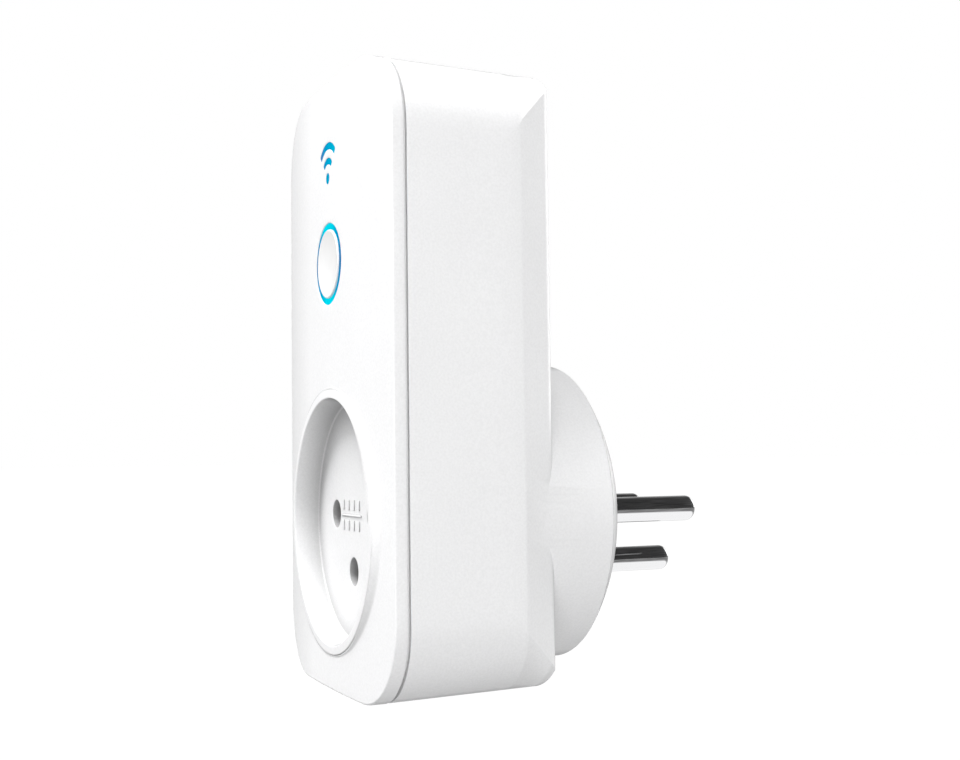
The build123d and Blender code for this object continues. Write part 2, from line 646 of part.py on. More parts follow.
def build_nodes():
    """Every sub-part by name; a list is a group of identical loose pieces."""
    nodes = {
        "front_cover": front_cover(),
        "rear_housing": rear_housing(),
        "socket_well": socket_well(),
        "pin_carrier": pin_carrier(),
        "button_cap": button_cap(),
        "light_ring": light_ring(),
        "signal_light_guide": signal_light_guide(),
        "line_clip": contact_clip(PIN_PLACES["line"], CLIP_TAIL_Z),
        "neutral_clip": contact_clip(PIN_PLACES["neutral"], CLIP_TAIL_Z),
        "earth_clip": contact_clip(PIN_PLACES["earth"], None),
        "contact_carrier": contact_carrier(),
        "line_strap": power_strap(PIN_PLACES["line"]),
        "neutral_strap": power_strap(PIN_PLACES["neutral"]),
        "earth_strap": earth_strap(),
        "main_board": board(22.6, MAIN_BOARD_Y, MAIN_SCREWS),
        "control_board": board(22.0, CONTROL_BOARD_Y, CONTROL_SCREWS),
        "header_block": header_block(),
        "header_pins": header_pins(),
        "insulation_sheet": insulation_sheet(),
        "relay_base": relay_base(),
        "relay_case": relay_case(),
        "relay_coil": relay_coil(),
        "relay_yoke": relay_yoke(),
        "relay_armature": relay_armature(),
        "relay_fixed_contact": relay_fixed_contact(),
        "film_capacitor": film_capacitor(),
        "electrolytic_capacitors": electrolytic_capacitors(),
        "power_inductor": power_inductor(),
        "varistor": varistor(),
        "fuse": fuse(),
        "rectifier": chip((-5.5, 0.3), (-24.2, MAIN_BOARD_Y), (33.2, 38.0), 0.7, 2),
        "power_chip": chip((-4.0, 0.0), (-23.3, MAIN_BOARD_Y), (41.0, 46.0), 0.7, 4),
        "radio_module": radio_module(),
        "radio_shield": radio_shield(),
        "switch_body": switch_body(),
        "switch_plunger": switch_plunger(),
        "switch_dome": switch_dome(),
        "ring_leds": ring_leds(),
        "signal_led": light_chip(0, 60),
        "case_screws": cross_screws(CASE_SCREWS, 2.5, 1.6, 1.2, 11.0, -24.4, -1),
        "carrier_screws": cross_screws(CARRIER_SCREWS, 2.2, 1.4, 1.2, 9.5, -16.9, 1),
        "clip_screws": cross_screws(CLIP_SCREWS, 2.0, 1.3, 1.0, 6.5, -32.2, -1),
        "main_board_screws": cross_screws(MAIN_SCREWS, 1.9, 1.2, 0.9, 3.8, -22.8, 1),
        "control_board_screws": cross_screws(CONTROL_SCREWS, 1.9, 1.2, 0.9, 3.8, -37.4, -1),
    }
    for name, place in PIN_PLACES.items():
        nodes[f"{name}_pin"] = contact_pin(place)
    return nodes


def write_parts(nodes):
    os.makedirs("parts", exist_ok=True)
    for name, shape in nodes.items():
        pieces = shape if isinstance(shape, list) else [shape]
        solids = [solid for piece in pieces for solid in piece.solids()]
        whole = solids[0] if len(solids) == 1 else Compound(children=solids)
        whole.label = name
        export_step(whole, f"parts/{name}.step")


write_parts(build_nodes())
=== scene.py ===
import json
import math

import bmesh
import bpy
import numpy as np
from mathutils import Matrix, Vector, geometry


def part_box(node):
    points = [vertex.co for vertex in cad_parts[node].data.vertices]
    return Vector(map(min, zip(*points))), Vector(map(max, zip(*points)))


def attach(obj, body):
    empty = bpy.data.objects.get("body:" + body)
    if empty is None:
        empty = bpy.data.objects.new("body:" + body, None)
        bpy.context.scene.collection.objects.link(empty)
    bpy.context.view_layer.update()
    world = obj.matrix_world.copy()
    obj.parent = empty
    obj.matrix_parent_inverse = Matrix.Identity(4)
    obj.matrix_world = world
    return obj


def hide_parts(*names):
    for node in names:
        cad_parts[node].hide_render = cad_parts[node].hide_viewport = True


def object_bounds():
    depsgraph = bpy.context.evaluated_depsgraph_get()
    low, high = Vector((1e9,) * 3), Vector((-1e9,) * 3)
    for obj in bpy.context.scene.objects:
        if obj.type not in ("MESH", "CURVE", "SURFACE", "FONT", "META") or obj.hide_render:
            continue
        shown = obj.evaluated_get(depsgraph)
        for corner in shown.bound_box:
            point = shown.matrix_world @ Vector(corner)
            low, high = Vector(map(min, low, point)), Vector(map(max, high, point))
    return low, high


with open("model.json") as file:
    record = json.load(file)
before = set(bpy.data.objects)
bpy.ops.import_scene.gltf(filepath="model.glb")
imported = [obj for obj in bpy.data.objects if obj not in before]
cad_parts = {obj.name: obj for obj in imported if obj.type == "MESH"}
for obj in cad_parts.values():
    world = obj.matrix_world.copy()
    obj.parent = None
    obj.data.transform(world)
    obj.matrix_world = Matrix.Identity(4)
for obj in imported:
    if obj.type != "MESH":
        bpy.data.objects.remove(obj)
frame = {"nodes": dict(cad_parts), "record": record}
cad_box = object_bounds()

MM = 0.001
record = frame["record"]
nodes = frame["nodes"]
scene = bpy.context.scene


def middle(node):
    low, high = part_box(node)
    return (low + high) / 2


button_centre = middle("light_ring")
centre = (cad_box[0] + cad_box[1]) / 2


# ---- node helpers


def new_material(name):
    material = bpy.data.materials.new(name)
    material.use_nodes = True
    tree = material.node_tree
    return material, tree, tree.nodes["Principled BSDF"]


def set_inputs(node, **inputs):
    """Sets a node's inputs by name, with _ for each space; returns the node."""
    for key, value in inputs.items():
        node.inputs[key.replace("_", " ")].default_value = value
    return node


def add(tree, kind, **inputs):
    return set_inputs(tree.nodes.new(kind), **inputs)


def wire(tree, source, target):
    tree.links.new(source, target)


def place_of(tree):
    return add(tree, "ShaderNodeTexCoord").outputs["Object"]


def parts_of(tree, vector):
    """The X, Y and Z outputs of a vector."""
    node = add(tree, "ShaderNodeSeparateXYZ")
    wire(tree, vector, node.inputs[0])
    return node.outputs


def noise(tree, scale, detail=2.0, roughness=0.5):
    node = add(tree, "ShaderNodeTexNoise", Scale=scale, Detail=detail, Roughness=roughness)
    wire(tree, place_of(tree), node.inputs["Vector"])
    return node.outputs["Fac"]


def ramp(tree, source, stops):
    node = add(tree, "ShaderNodeValToRGB")
    elements = node.color_ramp.elements
    while len(elements) < len(stops):
        elements.new(0.5)
    for element, (position, colour) in zip(elements, stops):
        element.position = position
        element.color = (*colour, 1.0)
    wire(tree, source, node.inputs["Fac"])
    return node.outputs["Color"]


def maths(tree, operation, a, b=None, c=None):
    node = add(tree, "ShaderNodeMath")
    node.operation = operation
    for slot, value in zip(node.inputs, (a, b, c)):
        if value is None:
            continue
        if isinstance(value, (int, float)):
            slot.default_value = value
        else:
            wire(tree, value, slot)
    return node.outputs[0]


def between(tree, source, low, high, new_low, new_high):
    node = add(tree, "ShaderNodeMapRange", From_Min=low, From_Max=high, To_Min=new_low, To_Max=new_high)
    wire(tree, source, node.inputs["Value"])
    return node.outputs["Result"]


def tinted(colour, amount):
    return tuple(min(1.0, max(0.0, c * (1 + amount))) for c in colour)


def mottled(tree, colour, scale, amount):
    """A colour that drifts a little lighter and darker over the surface."""
    fac = noise(tree, scale, 3.0)
    return ramp(tree, fac, [(0.3, tinted(colour, -amount)), (0.7, tinted(colour, amount))])


def bumped(tree, shader, height, distance, strength, edge=0.0):
    """Raises the surface by a height; edge is the radius that softens sharp edges."""
    bump = add(tree, "ShaderNodeBump", Strength=strength, Distance=distance)
    wire(tree, height, bump.inputs["Height"])
    if edge:
        rounded = add(tree, "ShaderNodeBevel", Radius=edge)
        wire(tree, rounded.outputs["Normal"], bump.inputs["Normal"])
    wire(tree, bump.outputs["Normal"], shader.inputs["Normal"])


# ---- materials

# Painted shade in creases, grooves and wells darkens the plastics' colour.
CREASE_SHADE_REACH = 10 * MM
CREASE_SHADE_OPENNESS = (0.3, 0.85)
CREASE_SHADE_LEVEL = 0.36
# Painted shade on a thin line along edges that turn away from the eye.
RIM_SHADE_FACING = (0.76, 0.97)
RIM_SHADE_LEVEL = 0.42
SPECKLE = 0.03
SIGN_SPREAD = 4.5 * MM


def scaled_colour(tree, colour, level):
    node = add(tree, "ShaderNodeVectorMath")
    node.operation = "SCALE"
    wire(tree, colour, node.inputs[0])
    if isinstance(level, float):
        set_inputs(node, Scale=level)
    else:
        wire(tree, level, node.inputs["Scale"])
    return node.outputs[0]


def painted_crease_shade(tree):
    """Painted shade: falls below 1 where a piece closes in on itself: corners, grooves and the bottom of
    wells.
    """
    cover = add(tree, "ShaderNodeAmbientOcclusion", Distance=CREASE_SHADE_REACH)
    cover.only_local = True
    return between(tree, cover.outputs["AO"], *CREASE_SHADE_OPENNESS, CREASE_SHADE_LEVEL, 1.0)


def painted_rim_shade(tree):
    """Painted shade: falls below 1 on a thin line where the surface turns away from the eye."""
    facing = add(tree, "ShaderNodeLayerWeight").outputs["Facing"]
    return between(tree, facing, *RIM_SHADE_FACING, 1.0, RIM_SHADE_LEVEL)


def moulded_plastic(name, colour, roughness=0.42, grain=2600, depth=0.03 * MM, edge=0.1 * MM, drift=0.012):
    """Moulded plastic: fine spark-eroded grain, a slow colour drift, painted shade in creases and along
    edges turned from the eye, and soft edges.
    """
    material, tree, shader = new_material(name)
    fine = noise(tree, grain, 4.0, 0.6)
    speckle = between(tree, fine, 0.35, 0.65, 1 - SPECKLE, 1 + SPECKLE)
    # level mixes painted shade (creases, edges turned from the eye) with the grain's speckle.
    level = maths(tree, "MULTIPLY", maths(tree, "MULTIPLY", painted_crease_shade(tree), painted_rim_shade(tree)), speckle)
    wire(tree, scaled_colour(tree, mottled(tree, colour, 60, drift), level), shader.inputs["Base Color"])
    rough = between(tree, noise(tree, 900, 3.0), 0.3, 0.7, roughness - 0.05, roughness + 0.05)
    wire(tree, rough, shader.inputs["Roughness"])
    set_inputs(shader, Specular_IOR_Level=0.45)
    bumped(tree, shader, fine, depth, 0.8, edge)
    return material


def polished_plastic(name, colour, roughness=0.12):
    material, tree, shader = new_material(name)
    wire(tree, mottled(tree, colour, 300, 0.01), shader.inputs["Base Color"])
    rough = between(tree, noise(tree, 2500, 2.0), 0.3, 0.7, roughness * 0.7, roughness * 1.4)
    wire(tree, rough, shader.inputs["Roughness"])
    set_inputs(shader, Coat_Weight=0.4, Coat_Roughness=0.06)
    bumped(tree, shader, noise(tree, 1800, 2.0), 0.002 * MM, 0.5, 0.1 * MM)
    return material


def light_pipe(name, source_stops, axis_value, glow):
    """Translucent coloured plastic lit from behind, its colour and glow set by a ramp over axis_value: on
    the ring a painted reflection, lighter at top and bottom; on the sign, lighter towards its right.
    """
    material, tree, shader = new_material(name)
    colour = ramp(tree, axis_value(tree), source_stops)
    wire(tree, scaled_colour(tree, colour, 0.03), shader.inputs["Base Color"])
    wire(tree, colour, shader.inputs["Emission Color"])
    flicker = between(tree, noise(tree, 1200, 2.0), 0.3, 0.7, glow * 0.94, glow * 1.06)
    wire(tree, flicker, shader.inputs["Emission Strength"])
    set_inputs(shader, Roughness=0.45, Specular_IOR_Level=0.0)
    bumped(tree, shader, noise(tree, 3000, 2.0), 0.002 * MM, 0.4)
    return material


def ring_reflection_mask(tree):
    """Painted reflection mask: 0 at the ring's two sides and 1 at its top and bottom, where the ring is
    painted a lighter cyan.
    """
    parts = parts_of(tree, place_of(tree))
    across = maths(tree, "SUBTRACT", parts["X"], button_centre.x)
    up = maths(tree, "SUBTRACT", parts["Z"], button_centre.z)
    angle = maths(tree, "ARCTAN2", up, across)
    return maths(tree, "ABSOLUTE", maths(tree, "SINE", angle))


def sign_across(tree):
    """0 at the sign's left and 1 at its right."""
    parts = parts_of(tree, place_of(tree))
    return between(tree, parts["X"], -SIGN_SPREAD, SIGN_SPREAD, 0.0, 1.0)


def polished_metal(name, colour, roughness=0.08):
    """Plated metal with faint lengthwise polishing marks; a painted reflection darkens its colour wherever
    it faces away from the floor, so it looks bright only where it mirrors the floor.
    """
    material, tree, shader = new_material(name)
    set_inputs(shader, Metallic=1.0)
    # Painted reflection: the colour darkens where the reflected ray points up, away from the floor.
    mirrored = parts_of(tree, add(tree, "ShaderNodeTexCoord").outputs["Reflection"])
    painted_dark_reflection = between(tree, mirrored["Z"], -0.5, -0.35, 0.0, 1.0)
    stretch = add(tree, "ShaderNodeMapping", Scale=(9000, 300, 9000))
    wire(tree, place_of(tree), stretch.inputs["Vector"])
    marks = add(tree, "ShaderNodeTexNoise", Scale=1.0, Detail=3.0)
    wire(tree, stretch.outputs["Vector"], marks.inputs["Vector"])
    rough = between(tree, marks.outputs["Fac"], 0.3, 0.7, roughness * 0.6, roughness * 1.6)
    wire(tree, rough, shader.inputs["Roughness"])
    painted_reflection_streaks = maths(tree, "MULTIPLY", painted_dark_reflection, between(tree, marks.outputs["Fac"], 0.35, 0.65, 0.8, 1.0))
    # The dark stop is the painted reflection of the dark room.
    stops = [(0.0, colour), (1.0, tinted(colour, -0.86))]
    wire(tree, ramp(tree, painted_reflection_streaks, stops), shader.inputs["Base Color"])
    bumped(tree, shader, marks.outputs["Fac"], 0.001 * MM, 0.4, 0.08 * MM)
    return material


def stamped_metal(name, colour, roughness=0.3):
    """Strip metal with rolling marks along one way and a little tarnish."""
    material, tree, shader = new_material(name)
    set_inputs(shader, Metallic=1.0)
    marks = add(tree, "ShaderNodeTexWave", Scale=900, Distortion=6, Detail=3)
    wire(tree, place_of(tree), marks.inputs["Vector"])
    tarnish = noise(tree, 250, 4.0)
    stops = [(0.35, tinted(colour, -0.25)), (0.65, colour)]
    wire(tree, ramp(tree, tarnish, stops), shader.inputs["Base Color"])
    rough = between(tree, marks.outputs["Fac"], 0, 1, roughness - 0.06, roughness + 0.1)
    wire(tree, rough, shader.inputs["Roughness"])
    bumped(tree, shader, marks.outputs["Fac"], 0.003 * MM, 0.5, 0.1 * MM)
    return material


def circuit_board(name, colour):
    """Solder mask over copper tracks, with bare pads between them."""
    material, tree, shader = new_material(name)
    tracks = add(tree, "ShaderNodeTexBrick", Scale=220, Mortar_Size=0.03)
    shades = {"Color1": 0.1, "Color2": -0.1, "Mortar": 0.9}
    set_inputs(tracks, **{key: (*tinted(colour, amount), 1) for key, amount in shades.items()})
    turned = add(tree, "ShaderNodeMapping", Rotation=(math.radians(90), 0, 0))
    wire(tree, place_of(tree), turned.inputs["Vector"])
    wire(tree, turned.outputs["Vector"], tracks.inputs["Vector"])
    pads = add(tree, "ShaderNodeTexVoronoi", Scale=420)
    wire(tree, place_of(tree), pads.inputs["Vector"])
    is_pad = ramp(tree, pads.outputs["Distance"], [(0.10, (1, 1, 1)), (0.14, (0, 0, 0))])
    mix = add(tree, "ShaderNodeMix")
    mix.data_type = "RGBA"
    wire(tree, is_pad, mix.inputs["Factor"])
    wire(tree, tracks.outputs["Color"], mix.inputs["A"])
    set_inputs(mix, B=(0.75, 0.66, 0.4, 1))
    wire(tree, mix.outputs["Result"], shader.inputs["Base Color"])
    wire(tree, is_pad, shader.inputs["Metallic"])
    set_inputs(shader, Roughness=0.28)
    bumped(tree, shader, tracks.outputs["Fac"], 0.02 * MM, 0.5)
    return material


def wound_wire(name, colour):
    """Fine enamelled wire wound in level turns."""
    material, tree, shader = new_material(name)
    turns = add(tree, "ShaderNodeTexWave", Scale=900, Distortion=0.4, Detail=1)
    turns.bands_direction = "Z"
    wire(tree, place_of(tree), turns.inputs["Vector"])
    stops = [(0.0, tinted(colour, -0.45)), (1.0, tinted(colour, 0.2))]
    wire(tree, ramp(tree, turns.outputs["Fac"], stops), shader.inputs["Base Color"])
    set_inputs(shader, Metallic=0.6, Roughness=0.3)
    bumped(tree, shader, turns.outputs["Fac"], 0.05 * MM, 0.8)
    return material


def sintered(name, colour, roughness=0.6):
    """Ferrite or fired ceramic: specks and a dry, slightly pitted face."""
    material, tree, shader = new_material(name)
    specks = add(tree, "ShaderNodeTexVoronoi", Scale=2500)
    wire(tree, place_of(tree), specks.inputs["Vector"])
    stops = [(0.0, tinted(colour, 0.35)), (0.35, colour), (1.0, tinted(colour, -0.15))]
    wire(tree, ramp(tree, specks.outputs["Distance"], stops), shader.inputs["Base Color"])
    set_inputs(shader, Roughness=roughness)
    bumped(tree, shader, noise(tree, 3500, 4.0), 0.02 * MM, 0.7, 0.1 * MM)
    return material


def clear_sheet(name, colour):
    """Thin see-through insulating film."""
    material, tree, shader = new_material(name)
    wire(tree, mottled(tree, colour, 200, 0.04), shader.inputs["Base Color"])
    set_inputs(shader, Roughness=0.25, Transmission_Weight=0.5)
    bumped(tree, shader, noise(tree, 600, 2.0), 0.01 * MM, 0.5)
    return material


# The ring's blue, with a painted reflection in lighter cyan towards its top and bottom.
RING_BLUE_AND_REFLECTION_STOPS = [(0.0, (0.004, 0.17, 0.43)), (0.75, (0.0, 0.33, 0.6)), (0.97, (0.0, 0.68, 0.84))]
SIGN_STOPS = [(0.0, (0.07, 0.18, 0.50)), (0.35, (0.0, 0.33, 0.62)), (1.0, (0.0, 0.52, 0.74))]
WHITE = (0.78, 0.78, 0.785)


def materials_by_slot():
    colours = {m["slot"]: tuple(m["base_color"][:3]) for m in record["materials"]}
    made = {
        "housing_white": moulded_plastic("housing_white", WHITE),
        "button_white": polished_plastic("button_white", (0.8, 0.8, 0.8)),
        "ring_blue": light_pipe("ring_blue", RING_BLUE_AND_REFLECTION_STOPS, ring_reflection_mask, 1.0),
        "sign_blue": light_pipe("sign_blue", SIGN_STOPS, sign_across, 0.95),
        "pin_nickel": polished_metal("pin_nickel", (0.86, 0.86, 0.87)),
        "coil_red": wound_wire("coil_red", colours["coil_red"]),
        "clear_film": clear_sheet("clear_film", colours["clear_film"]),
        "board_green": circuit_board("board_green", colours["board_green"]),
        "ferrite": sintered("ferrite", colours["ferrite"]),
        "fuse_glass": sintered("fuse_glass", colours["fuse_glass"], 0.35),
    }
    for slot in ("clip_brass", "strap_copper", "gold_pin", "steel", "shield_tin"):
        made[slot] = stamped_metal(slot, colours[slot])
    for slot in ("carrier_black", "header_black", "chip_black"):
        made[slot] = moulded_plastic(slot, colours[slot], 0.55, 5000, 0.02 * MM, 0.08 * MM, 0.1)
    for slot in ("relay_case_blue", "film_cap_yellow", "can_dark", "varistor_blue", "led_white"):
        made[slot] = polished_plastic(slot, colours[slot], 0.25)
    return made


made = materials_by_slot()


def paint_cad_nodes():
    for part in record["subparts"]:
        node = nodes[part["node"]]
        node.data.materials.clear()
        node.data.materials.append(made[part["material_slot"]])


# ---- mesh tools
#
# Outlines are worked out in millimetres as (x, z) or (radius, y) points; build() turns them into metres.
# WELD is in metres and SAME in millimetres.

ROUND_COUNT = 160
SMALL_COUNT = 64
DOT_COUNT = 32
PIN_COUNT = 96
WELD = 1e-6
SAME = 1e-3
SMOOTH_ANGLE = math.radians(34)


def circle(radius, place=(0.0, 0.0), count=ROUND_COUNT):
    turns = (math.tau * i / count for i in range(count))
    return [(place[0] + radius * math.cos(a), place[1] + radius * math.sin(a)) for a in turns]


def rectangle(x, z):
    """A loop from (low, high) pairs."""
    return [(x[1], z[0]), (x[1], z[1]), (x[0], z[1]), (x[0], z[0])]


def arc_points(centre, radius, start, end, steps):
    """Points along an arc; the angles are in degrees."""
    angles = (math.radians(start + (end - start) * i / steps) for i in range(steps + 1))
    return [(centre[0] + radius * math.cos(a), centre[1] + radius * math.sin(a)) for a in angles]


def rounded(points, radii, steps=5):
    """A polyline whose corners are replaced by arcs; a radius of 0 keeps the point."""
    path = []
    for index, (point, radius) in enumerate(zip(points, radii)):
        corner = Vector(point)
        if radius == 0:
            path.append(tuple(corner))
            continue
        back = (Vector(points[index - 1]) - corner).normalized()
        ahead = (Vector(points[(index + 1) % len(points)]) - corner).normalized()
        half = back.angle(ahead) / 2
        hub = corner + (back + ahead).normalized() * (radius / math.sin(half))
        reach = radius / math.tan(half)
        first = corner + back * reach - hub
        last = corner + ahead * reach - hub
        path += [tuple(hub + first.slerp(last, step / steps) * radius) for step in range(steps + 1)]
    return path


def quarter_turn(steps):
    """(sine, cosine) pairs from 0 to 90 degrees."""
    angles = (math.pi / 2 * i / steps for i in range(steps + 1))
    return [(math.sin(a), math.cos(a)) for a in angles]


def grown(loop, amount):
    """A loop moved outwards by a small amount, point by point."""
    moved = []
    for before, here, after in zip(loop[-1:] + loop[:-1], loop, loop[1:] + loop[:1]):
        along = (Vector(after) - Vector(before)).normalized()
        moved.append((here[0] + along.y * amount, here[1] - along.x * amount))
    return moved


def at_depth(loop, height):
    """Puts a loop at a fixed y, or at a y worked out from each point's x."""
    return [(x, height(x) if callable(height) else height, z) for x, z in loop]


def distinct(loop):
    """The loop without points that repeat their neighbour."""
    return [p for p, before in zip(loop, loop[-1:] + loop[:-1]) if math.dist(p, before) > SAME]


def inside(points, loop):
    """Which of the (x, z) points lie inside the loop."""
    ring = np.asarray(loop)
    following = np.roll(ring, -1, axis=0)
    x, z = points[:, :1], points[:, 1:]
    straddles = (ring[:, 1] > z) != (following[:, 1] > z)
    rise = following[:, 1] - ring[:, 1]
    rise = np.where(rise == 0, SAME**2, rise)
    crossing = ring[:, 0] + (z - ring[:, 1]) * (following[:, 0] - ring[:, 0]) / rise
    return (straddles & (x < crossing)).sum(axis=1) % 2 == 1


def grid_inside(outer, holes, spacing):
    """Evenly spaced points inside the outer loop, clear of every loop."""
    edge = np.array([p for loop in (outer, *holes) for p in loop])
    low, high = edge.min(axis=0), edge.max(axis=0)
    rows = np.arange(low[1] + spacing / 2, high[1], spacing * math.sqrt(0.75))
    columns = np.arange(low[0] + spacing / 4, high[0], spacing)
    grid = np.array([(x + spacing / 2 * (i % 2), z) for i, z in enumerate(rows) for x in columns])
    grid = grid[inside(grid, outer)]
    for hole in holes:
        grid = grid[~inside(grid, hole)]
    gaps = np.linalg.norm(grid[:, None] - edge[None], axis=2).min(axis=1)
    return grid[gaps > 0.6 * spacing]


class Skin:
    """Collects the surfaces of one piece and welds them into one closed mesh."""

    def __init__(self):
        self.points = []
        self.faces = []

    def add(self, points, faces):
        start = len(self.points)
        self.points += [tuple(p) for p in points]
        self.faces += [tuple(start + i for i in face) for face in faces]

    def rings(self, rings):
        """Four-sided faces between neighbouring closed rings of equal length."""
        count = len(rings[0])
        faces = []
        for level in range(len(rings) - 1):
            here = level * count
            above = here + count
            for i in range(count):
                j = (i + 1) % count
                faces.append((here + i, here + j, above + j, above + i))
        self.add([p for ring in rings for p in ring], faces)

    def turned(self, profile, place=(0.0, 0.0), count=ROUND_COUNT):
        """A profile of (radius, y) points turned about the Y axis at place."""
        self.rings([at_depth(circle(radius, place, count), y) for radius, y in profile])

    def boss(self, place, size, foot):
        """A screw boss standing on a face, with a blind pilot hole; returns its foot for that face."""
        radius, pilot_radius, end_y, pilot_end_y = size
        foot_loop = circle(radius, place, SMALL_COUNT)
        self.rings([at_depth(foot_loop, foot), at_depth(foot_loop, end_y)])
        pilot = [(radius, end_y), (pilot_radius, end_y), (pilot_radius, pilot_end_y), (0.0, pilot_end_y)]
        self.turned(pilot, place, SMALL_COUNT)
        return foot_loop

    def sheet(self, outer, holes, height, spacing):
        """Fills the outer loop, less the holes, with even triangles."""
        loops = [distinct(loop) for loop in (outer, *holes)]
        edges = []
        start = 0
        for loop in loops:
            edges += [(start + i, start + (i + 1) % len(loop)) for i in range(len(loop))]
            start += len(loop)
        places = [Vector(p) for loop in loops for p in loop]
        places += [Vector(p) for p in grid_inside(loops[0], loops[1:], spacing)]
        flat, _, triangles, *_ = geometry.delaunay_2d_cdt(places, edges, [], 1, WELD, False)
        flat = np.array([tuple(p) for p in flat])
        triangles = np.array(triangles)
        centres = flat[triangles].mean(axis=1)
        keep = inside(centres, loops[0])
        for hole in loops[1:]:
            keep &= ~inside(centres, hole)
        self.add(at_depth(flat.tolist(), height), triangles[keep].tolist())

    def cap(self, ring):
        """One flat face over a small ring."""
        self.add(ring, [tuple(range(len(ring)))])

    def build(self, name):
        mesh = bpy.data.meshes.new(name)
        work = bmesh.new()
        corners = [work.verts.new(Vector(p) * MM) for p in self.points]
        for face in self.faces:
            work.faces.new([corners[i] for i in face])
        bmesh.ops.remove_doubles(work, verts=work.verts, dist=WELD)
        bmesh.ops.dissolve_degenerate(work, edges=work.edges, dist=WELD / 10)
        bmesh.ops.recalc_face_normals(work, faces=work.faces)
        work.to_mesh(mesh)
        work.free()
        piece = bpy.data.objects.new(name, mesh)
        scene.collection.objects.link(piece)
        return piece


def combined(base, other, operation):
    """The union or difference of two closed pieces."""
    modifier = base.modifiers.new("combine", "BOOLEAN")
    modifier.operation = operation
    modifier.solver = "MANIFOLD"
    modifier.object = other
    graph = bpy.context.evaluated_depsgraph_get()
    base.data = bpy.data.meshes.new_from_object(base.evaluated_get(graph))
    base.modifiers.clear()
    bpy.data.objects.remove(other)
    return base


def dress(piece, slot, body, node):
    """Gives a finished piece its shading, material and body, and hides the CAD node it stands for."""
    mesh = piece.data
    mesh.shade_smooth()
    mesh.set_sharp_from_angle(angle=SMOOTH_ANGLE)
    piece.modifiers.new("even_shading", "WEIGHTED_NORMAL").keep_sharp = True
    mesh.materials.clear()
    mesh.materials.append(made[slot])
    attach(piece, body)
    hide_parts(node)


# ---- shape of the body


def box_mm(node):
    return [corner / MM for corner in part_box(node)]


def place_mm(node):
    """(x, z) of a node's middle."""
    point = middle(node) / MM
    return (point.x, point.z)


cover_low, cover_high = box_mm("front_cover")
housing_high = box_mm("rear_housing")[1]
BODY_WIDTH = cover_high.x - cover_low.x
BODY_HEIGHT = cover_high.z - cover_low.z
BODY_Z = (cover_high.z + cover_low.z) / 2
CORNER_R = 13.0
DRAFT = math.tan(math.radians(1.2))
FRONT_Y = -45.0
CROWN = 1.4
CROWN_R = ((BODY_WIDTH / 2) ** 2 + CROWN**2) / (2 * CROWN)
COVER_END_Y = -43.0
HOUSING_START_Y = -42.5
BACK_Y = -16.0
BEVEL_START = (28.02, -22.9)
BEVEL_CORNER_X = 24.62
BEVEL_START_ROUND = 1.7
BEVEL_END_ROUND = 3.0
BACK_EDGE_ROUND = 0.7
MITRE_ROUND = 0.3
FRONT_EDGE_ROUND = 0.3
WALL = 2.0
PLATE = 1.8
TONGUE_SET_IN = 0.8
TONGUE_END_Y = -40.6
TONGUE_LEAD_IN = 0.1
SEAM_ROUND = 0.12
SIDE_STEPS = 24
TOP_STEPS = 12
MITRE_STEPS = 4
CORNER_STEPS = 16

PIN_PLACES = {name: place_mm(f"{name}_pin") for name in ("line", "neutral", "earth")}
WELL_PLACE = place_mm("socket_well")
BUTTON_PLACE = place_mm("light_ring")
SIGN_PLACE = (0.0, 57.6)
CASE_SCREW_PLACES = [(x, 67.2) for x in (-14.0, 14.0)]


def crown_y(x):
    """Depth of the arched front face at x."""
    return FRONT_Y - CROWN + CROWN_R - math.sqrt(CROWN_R**2 - x**2)


def plate_back_y(x):
    return crown_y(x) + PLATE


def body_loop(y, half=None, inset=0.0):
    """The body's outline at depth y, cut to a half width where the sides are bevelled."""
    shrink = max(0.0, y - FRONT_Y) * DRAFT
    centre_x = BODY_WIDTH / 2 - shrink - CORNER_R
    centre_z = BODY_HEIGHT / 2 - shrink - CORNER_R
    radius = CORNER_R - inset
    half = min(half or BODY_WIDTH, centre_x + radius)
    turn_x = half - MITRE_ROUND
    turn_rise = math.sqrt(max(0.0, (radius - MITRE_ROUND) ** 2 - (turn_x - centre_x) ** 2))
    join = math.degrees(math.atan2(turn_rise, turn_x - centre_x))
    quarter = [(half, (centre_z + turn_rise) * i / SIDE_STEPS) for i in range(SIDE_STEPS)]
    quarter += arc_points((turn_x, centre_z + turn_rise), MITRE_ROUND, 0, join, MITRE_STEPS)
    quarter += arc_points((centre_x, centre_z), radius, join, 90, CORNER_STEPS)[1:]
    quarter += [(centre_x * (1 - i / TOP_STEPS), centre_z + radius) for i in range(1, TOP_STEPS + 1)]
    upper = quarter + [(-x, z) for x, z in reversed(quarter[:-1])]
    lower = [(x, -z) for x, z in reversed(upper[1:-1])]
    return [(x, BODY_Z + z) for x, z in upper + lower]


def sunk_edge(loop, soft, steps=3):
    """Rings that round the arched front over into an opening's wall."""
    return [
        at_depth(grown(loop, soft * (1 - s)), lambda x, drop=soft * (1 - c): crown_y(x) + drop)
        for s, c in quarter_turn(steps)
    ]


# ---- the front cover

